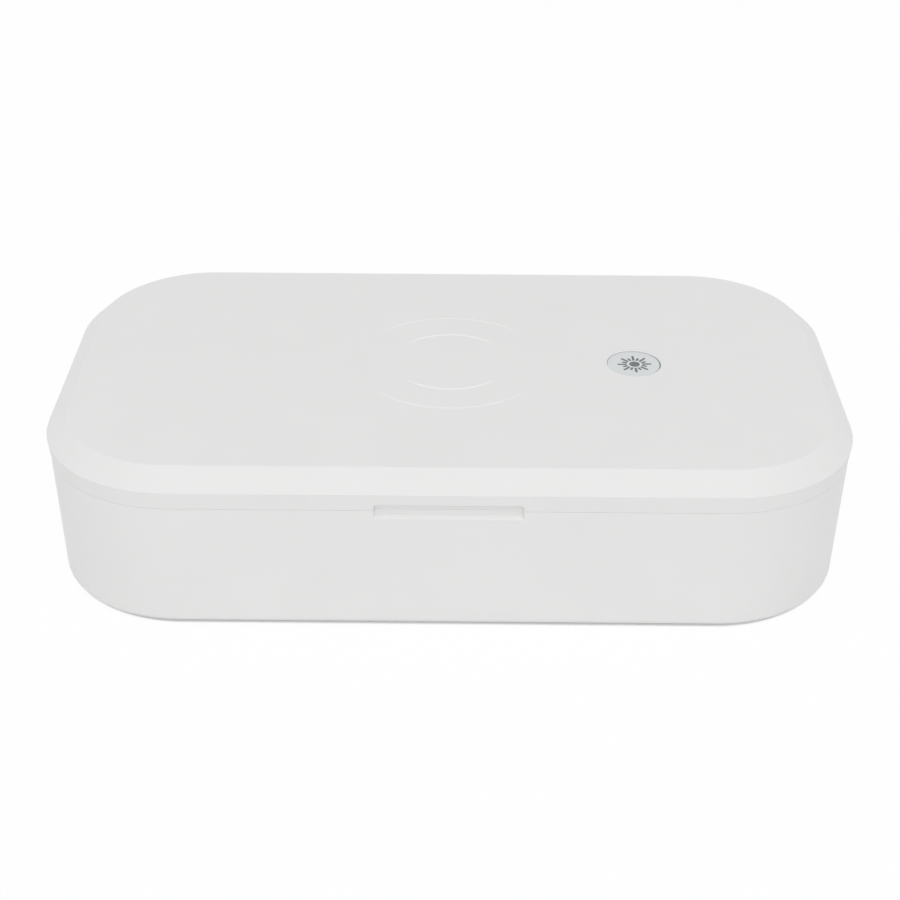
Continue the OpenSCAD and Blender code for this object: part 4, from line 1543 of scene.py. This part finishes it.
class Dresser:
    """Gives each piece its finish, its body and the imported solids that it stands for."""

    @staticmethod
    def dress(obj: bpy.types.Object, paint: Paint, body: Body, *nodes: str, smooth: bool = True) -> None:
        """Finish a new piece.

        Args:
            obj: The piece.
            paint: Its finish.
            body: The body it moves with.
            *nodes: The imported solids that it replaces.
            smooth: Whether its shading still has to be set.
        """
        if smooth:
            Bench.smooth(obj)
        obj.data.materials.clear()
        obj.data.materials.append(paint.value.build())
        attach(obj, body.value)
        if nodes:
            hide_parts(*nodes)
        log.info("%s: %d faces, finish %s, on %s", obj.name, len(obj.data.polygons), paint.name, body.value)

    @staticmethod
    def repaint(nodes: dict[str, Paint]) -> None:
        """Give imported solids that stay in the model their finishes."""
        for name, paint in nodes.items():
            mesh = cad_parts[name].data
            mesh.materials.clear()
            mesh.materials.append(paint.value.build())
            log.info("%s: packed solid, finish %s", name, paint.name)


@dataclass
class Studio:
    """The pale floor, the light and the camera of the photograph."""

    lens: float = 69.629
    sensor: float = 36.0
    distance: float = 516.13
    rise: float = 31.16
    aside: float = 0.1485
    roll: float = 0.387
    aim: Corner = (0.067, 0.0, 16.34)
    floor_size: float = 12.0
    floor_share: float = 0.95
    gap_share: float = 0.25
    gap_round: float = 36.0
    gap_half: Spot = (107.6, 61.3)
    world_light: float = 0.75
    side_dim: float = 0.75
    horizon_lift: float = 0.3
    height_dim: float = 4.0
    key_place: Corner = (0.0, -620.0, 1275.0)
    key_size: float = 1500.0
    key_watts: float = 8.6

    def camera(self) -> None:
        """Place the camera where the photograph was taken from."""
        rise, aside, roll = (math.radians(a) for a in (self.rise, self.aside, self.roll))
        aim = Vector(self.aim) * MM
        away = Vector((math.cos(rise) * math.sin(aside), -math.cos(rise) * math.cos(aside), math.sin(rise)))
        right = (-away).cross(Vector((0, 0, 1))).normalized()
        up = right.cross(-away)
        turned_right = right * math.cos(roll) + up * math.sin(roll)
        turned_up = up * math.cos(roll) - right * math.sin(roll)
        data = bpy.data.cameras.new("photo_camera")
        data.lens = self.lens
        data.sensor_width = self.sensor
        data.clip_start = 0.01
        camera = bpy.data.objects.new("photo_camera", data)
        bpy.context.collection.objects.link(camera)
        turn = Matrix((turned_right, turned_up, away)).transposed().to_4x4()
        camera.matrix_world = Matrix.Translation(aim + away * self.distance * MM) @ turn
        bpy.context.scene.camera = camera

    def _seen(self, graph: Graph) -> bpy.types.NodeSocket:
        """Whether a ray comes from the camera, from gloss or through glass."""
        path = graph.add("LightPath").outputs
        direct = graph.sum("MAXIMUM", path["Is Camera Ray"], path["Is Glossy Ray"])
        return graph.sum("MAXIMUM", direct, path["Is Transmission Ray"])

    def _lit_share(self, graph: Graph) -> bpy.types.NodeSocket:
        """How far the floor shows as plain white: less in the gap under the box.

        Args:
            graph: The floor's graph.

        Returns:
            The share.
        """
        vector = graph.add("TexCoord").outputs["Object"]
        axes = graph.add("SeparateXYZ", None, Vector=vector).outputs
        radius = self.gap_round * MM
        reach = []
        for axis, middle, half in zip(axes, (0.0, CASE.mid_y), self.gap_half):
            away = graph.sum("ABSOLUTE", graph.sum("SUBTRACT", axis, middle * MM))
            reach.append(graph.sum("MAXIMUM", graph.sum("SUBTRACT", away, half * MM - radius), 0.0))
        corner = graph.add("CombineXYZ", None, X=reach[0], Y=reach[1]).outputs[0]
        length = graph.add("VectorMath", {"operation": "LENGTH"}, _0=corner).outputs["Value"]
        off = graph.sum("SUBTRACT", length, radius)
        return graph.spread(off, -0.2 * MM, 0.5 * MM, self.gap_share, self.floor_share)

    def floor(self) -> None:
        """Lay the white floor, which keeps the box's soft shadow."""
        Bench.clear()
        bpy.ops.mesh.primitive_plane_add(size=self.floor_size, location=(0, 0, 0))
        floor = Bench.named("floor")
        material = bpy.data.materials.new("floor_white")
        material.use_nodes = True
        graph = Graph(material.node_tree)
        shader = material.node_tree.nodes["Principled BSDF"]
        shader.inputs["Roughness"].default_value = 0.9
        shader.inputs["Base Color"].default_value = (0.95, 0.95, 0.95, 1.0)
        glow = graph.add("Emission", None, Color=(1.0, 1.0, 1.0, 1.0), Strength=1.0).outputs[0]
        share = graph.sum("MULTIPLY", self._seen(graph), self._lit_share(graph))
        mixed = graph.add("MixShader")
        graph.feed(mixed.inputs[0], share)
        graph.feed(mixed.inputs[1], shader.outputs[0])
        graph.feed(mixed.inputs[2], glow)
        graph.feed(material.node_tree.nodes["Material Output"].inputs[0], mixed.outputs[0])
        floor.data.materials.append(material)

    def world(self) -> None:
        """Light everything softly from all round, and keep the background white."""
        world = bpy.data.worlds.new("soft_light")
        bpy.context.scene.world = world
        world.use_nodes = True
        graph = Graph(world.node_tree)
        background = world.node_tree.nodes["Background"]
        background.inputs["Color"].default_value = (1.0, 1.0, 1.0, 1.0)
        way = graph.add("TexCoord").outputs["Generated"]
        axes = graph.add("SeparateXYZ", None, Vector=way).outputs
        aside = graph.sum("MULTIPLY", axes[0], axes[0])
        above = graph.sum("MULTIPLY_ADD", graph.sum("MULTIPLY", axes[2], axes[2]), self.height_dim, -self.horizon_lift)
        dimmed = graph.sum("MULTIPLY_ADD", graph.sum("MULTIPLY", aside, above), -self.side_dim, 1.0)
        lit = graph.sum("MULTIPLY", dimmed, self.world_light)
        strength = graph.sum("MAXIMUM", lit, self._seen(graph))
        graph.feed(background.inputs["Strength"], strength)

    def lamp(self) -> None:
        """Hang a soft square lamp that looks at the box."""
        data = bpy.data.lights.new("key", "AREA")
        data.shape = "SQUARE"
        data.size = self.key_size * MM
        data.energy = self.key_watts
        lamp = bpy.data.objects.new("key", data)
        bpy.context.collection.objects.link(lamp)
        spot = Vector(self.key_place) * MM
        turn = (Vector(self.aim) * MM - spot).to_track_quat("-Z", "Y").to_matrix().to_4x4()
        lamp.matrix_world = Matrix.Translation(spot) @ turn

    def build(self) -> None:
        """Set the whole studio up."""
        self.camera()
        self.floor()
        self.world()
        self.lamp()
        bpy.context.scene.view_settings.view_transform = "Standard"


class PhoneBox:
    """The whole box, sub-assembly by sub-assembly."""

    def __init__(self) -> None:
        """Keep the sub-assemblies."""
        self.tub = Tub()
        self.cover = Cover()
        self.chamber = Chamber()
        self.lamps = Lamps()
        self.button = Button()
        self.inlet = Inlet()

    def shells(self) -> None:
        """Make and dress the tub, its feet and the cover."""
        Dresser.dress(self.tub.shell(), Paint.TUB, Body.BASE, "base_shell")
        Dresser.dress(self.tub.feet(), Paint.RUBBER, Body.BASE, "feet")
        Dresser.dress(self.cover.shell(), Paint.COVER, Body.LID, "lid_shell")

    def insides(self) -> None:
        """Make and dress the tray, the rails, the panel and their fasteners."""
        Dresser.dress(self.chamber.tray(), Paint.TRAY, Body.BASE, "chamber_tray")
        Dresser.dress(self.chamber.rails(), Paint.ACRYLIC, Body.BASE, "phone_rails")
        Dresser.dress(self.chamber.panel(self.cover.boss_spots), Paint.TRAY, Body.LID, "lid_panel")
        spots = [(x, CASE.mid_y + y, CASE.panel_z) for x, y in self.cover.boss_spots]
        Dresser.dress(Fastener().set_of("panel_screws", spots), Paint.STEEL, Body.LID, "lid_screws")

    def lights(self) -> None:
        """Make and dress the four lamps and their soft holders."""
        tube, cups = self.lamps.tube(), self.lamps.electrodes()
        for node, seat in self.lamps.seats().items():
            body = Body.BASE if node.startswith("base") else Body.LID
            glass = Bench.copied(tube, node + "_tube", seat)
            metal = Bench.copied(cups, node + "_electrodes", seat)
            Dresser.dress(glass, Paint.QUARTZ, body, node)
            Dresser.dress(metal, Paint.ELECTRODE, body)
        bpy.data.objects.remove(tube)
        bpy.data.objects.remove(cups)
        for node, body in (("base_lamp_holders", Body.BASE), ("lid_lamp_holders", Body.LID)):
            Dresser.dress(Bench.softened(node, node.replace("holders", "grips"), 0.25), Paint.SILICONE, body, node)

    def controls(self) -> None:
        """Make and dress the button, its print and the power inlet."""
        Dresser.dress(self.button.cap(), Paint.CAP, Body.BUTTON, "button_cap")
        Dresser.dress(self.button.sun(), Paint.INK, Body.BUTTON, smooth=False)
        Dresser.dress(self.button.plunger(), Paint.BLACK, Body.BUTTON, "switch_stem")
        Dresser.dress(self.inlet.shell(), Paint.STEEL, Body.BASE, "power_socket")
        Dresser.dress(self.inlet.tongue(), Paint.BLACK, Body.BASE)
        Dresser.dress(self.inlet.pads(), Paint.GOLD, Body.BASE, smooth=False)
        Dresser.dress(Winding().turns(), Paint.WIRE, Body.LID, "charging_coil")

    def kept(self) -> None:
        """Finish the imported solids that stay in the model."""
        mirrors = [f"{half}_reflector_{end}" for half in ("base", "lid") for end in ("front", "rear")]
        Dresser.repaint({name: Paint.MIRROR for name in mirrors})
        Dresser.repaint({
            "main_board": Paint.BOARD,
            "lid_board": Paint.BOARD,
            "lamp_inverter": Paint.BLACK,
            "power_capacitors": Paint.BLACK,
            "lid_sensor": Paint.BLACK,
            "tact_switch": Paint.BLACK,
            "switch_stem": Paint.BLACK,
            "base_magnets": Paint.MAGNET,
            "lid_magnets": Paint.MAGNET,
            "tray_screws": Paint.STEEL,
            "hinge_pins": Paint.STEEL,
            "ferrite_sheet": Paint.FERRITE,
        })
        replaced = {
            "base_shell": Paint.TUB, "feet": Paint.RUBBER, "lid_shell": Paint.COVER, "chamber_tray": Paint.TRAY,
            "phone_rails": Paint.ACRYLIC, "lid_panel": Paint.TRAY, "lid_screws": Paint.STEEL,
            "base_lamp_holders": Paint.SILICONE, "lid_lamp_holders": Paint.SILICONE, "button_cap": Paint.CAP,
            "power_socket": Paint.STEEL, "charging_coil": Paint.WIRE,
        }
        replaced |= {name: Paint.QUARTZ for name in self.lamps.seats()}
        Dresser.repaint(replaced)


def main() -> None:
    """Build the box in its studio, piece by piece."""
    logging.basicConfig(level=logging.INFO, format="%(name)s: %(message)s")
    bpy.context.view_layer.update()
    Studio().build()
    box = PhoneBox()
    box.shells()
    box.insides()
    box.lights()
    box.controls()
    box.kept()


if __name__ == "__main__":
    main()
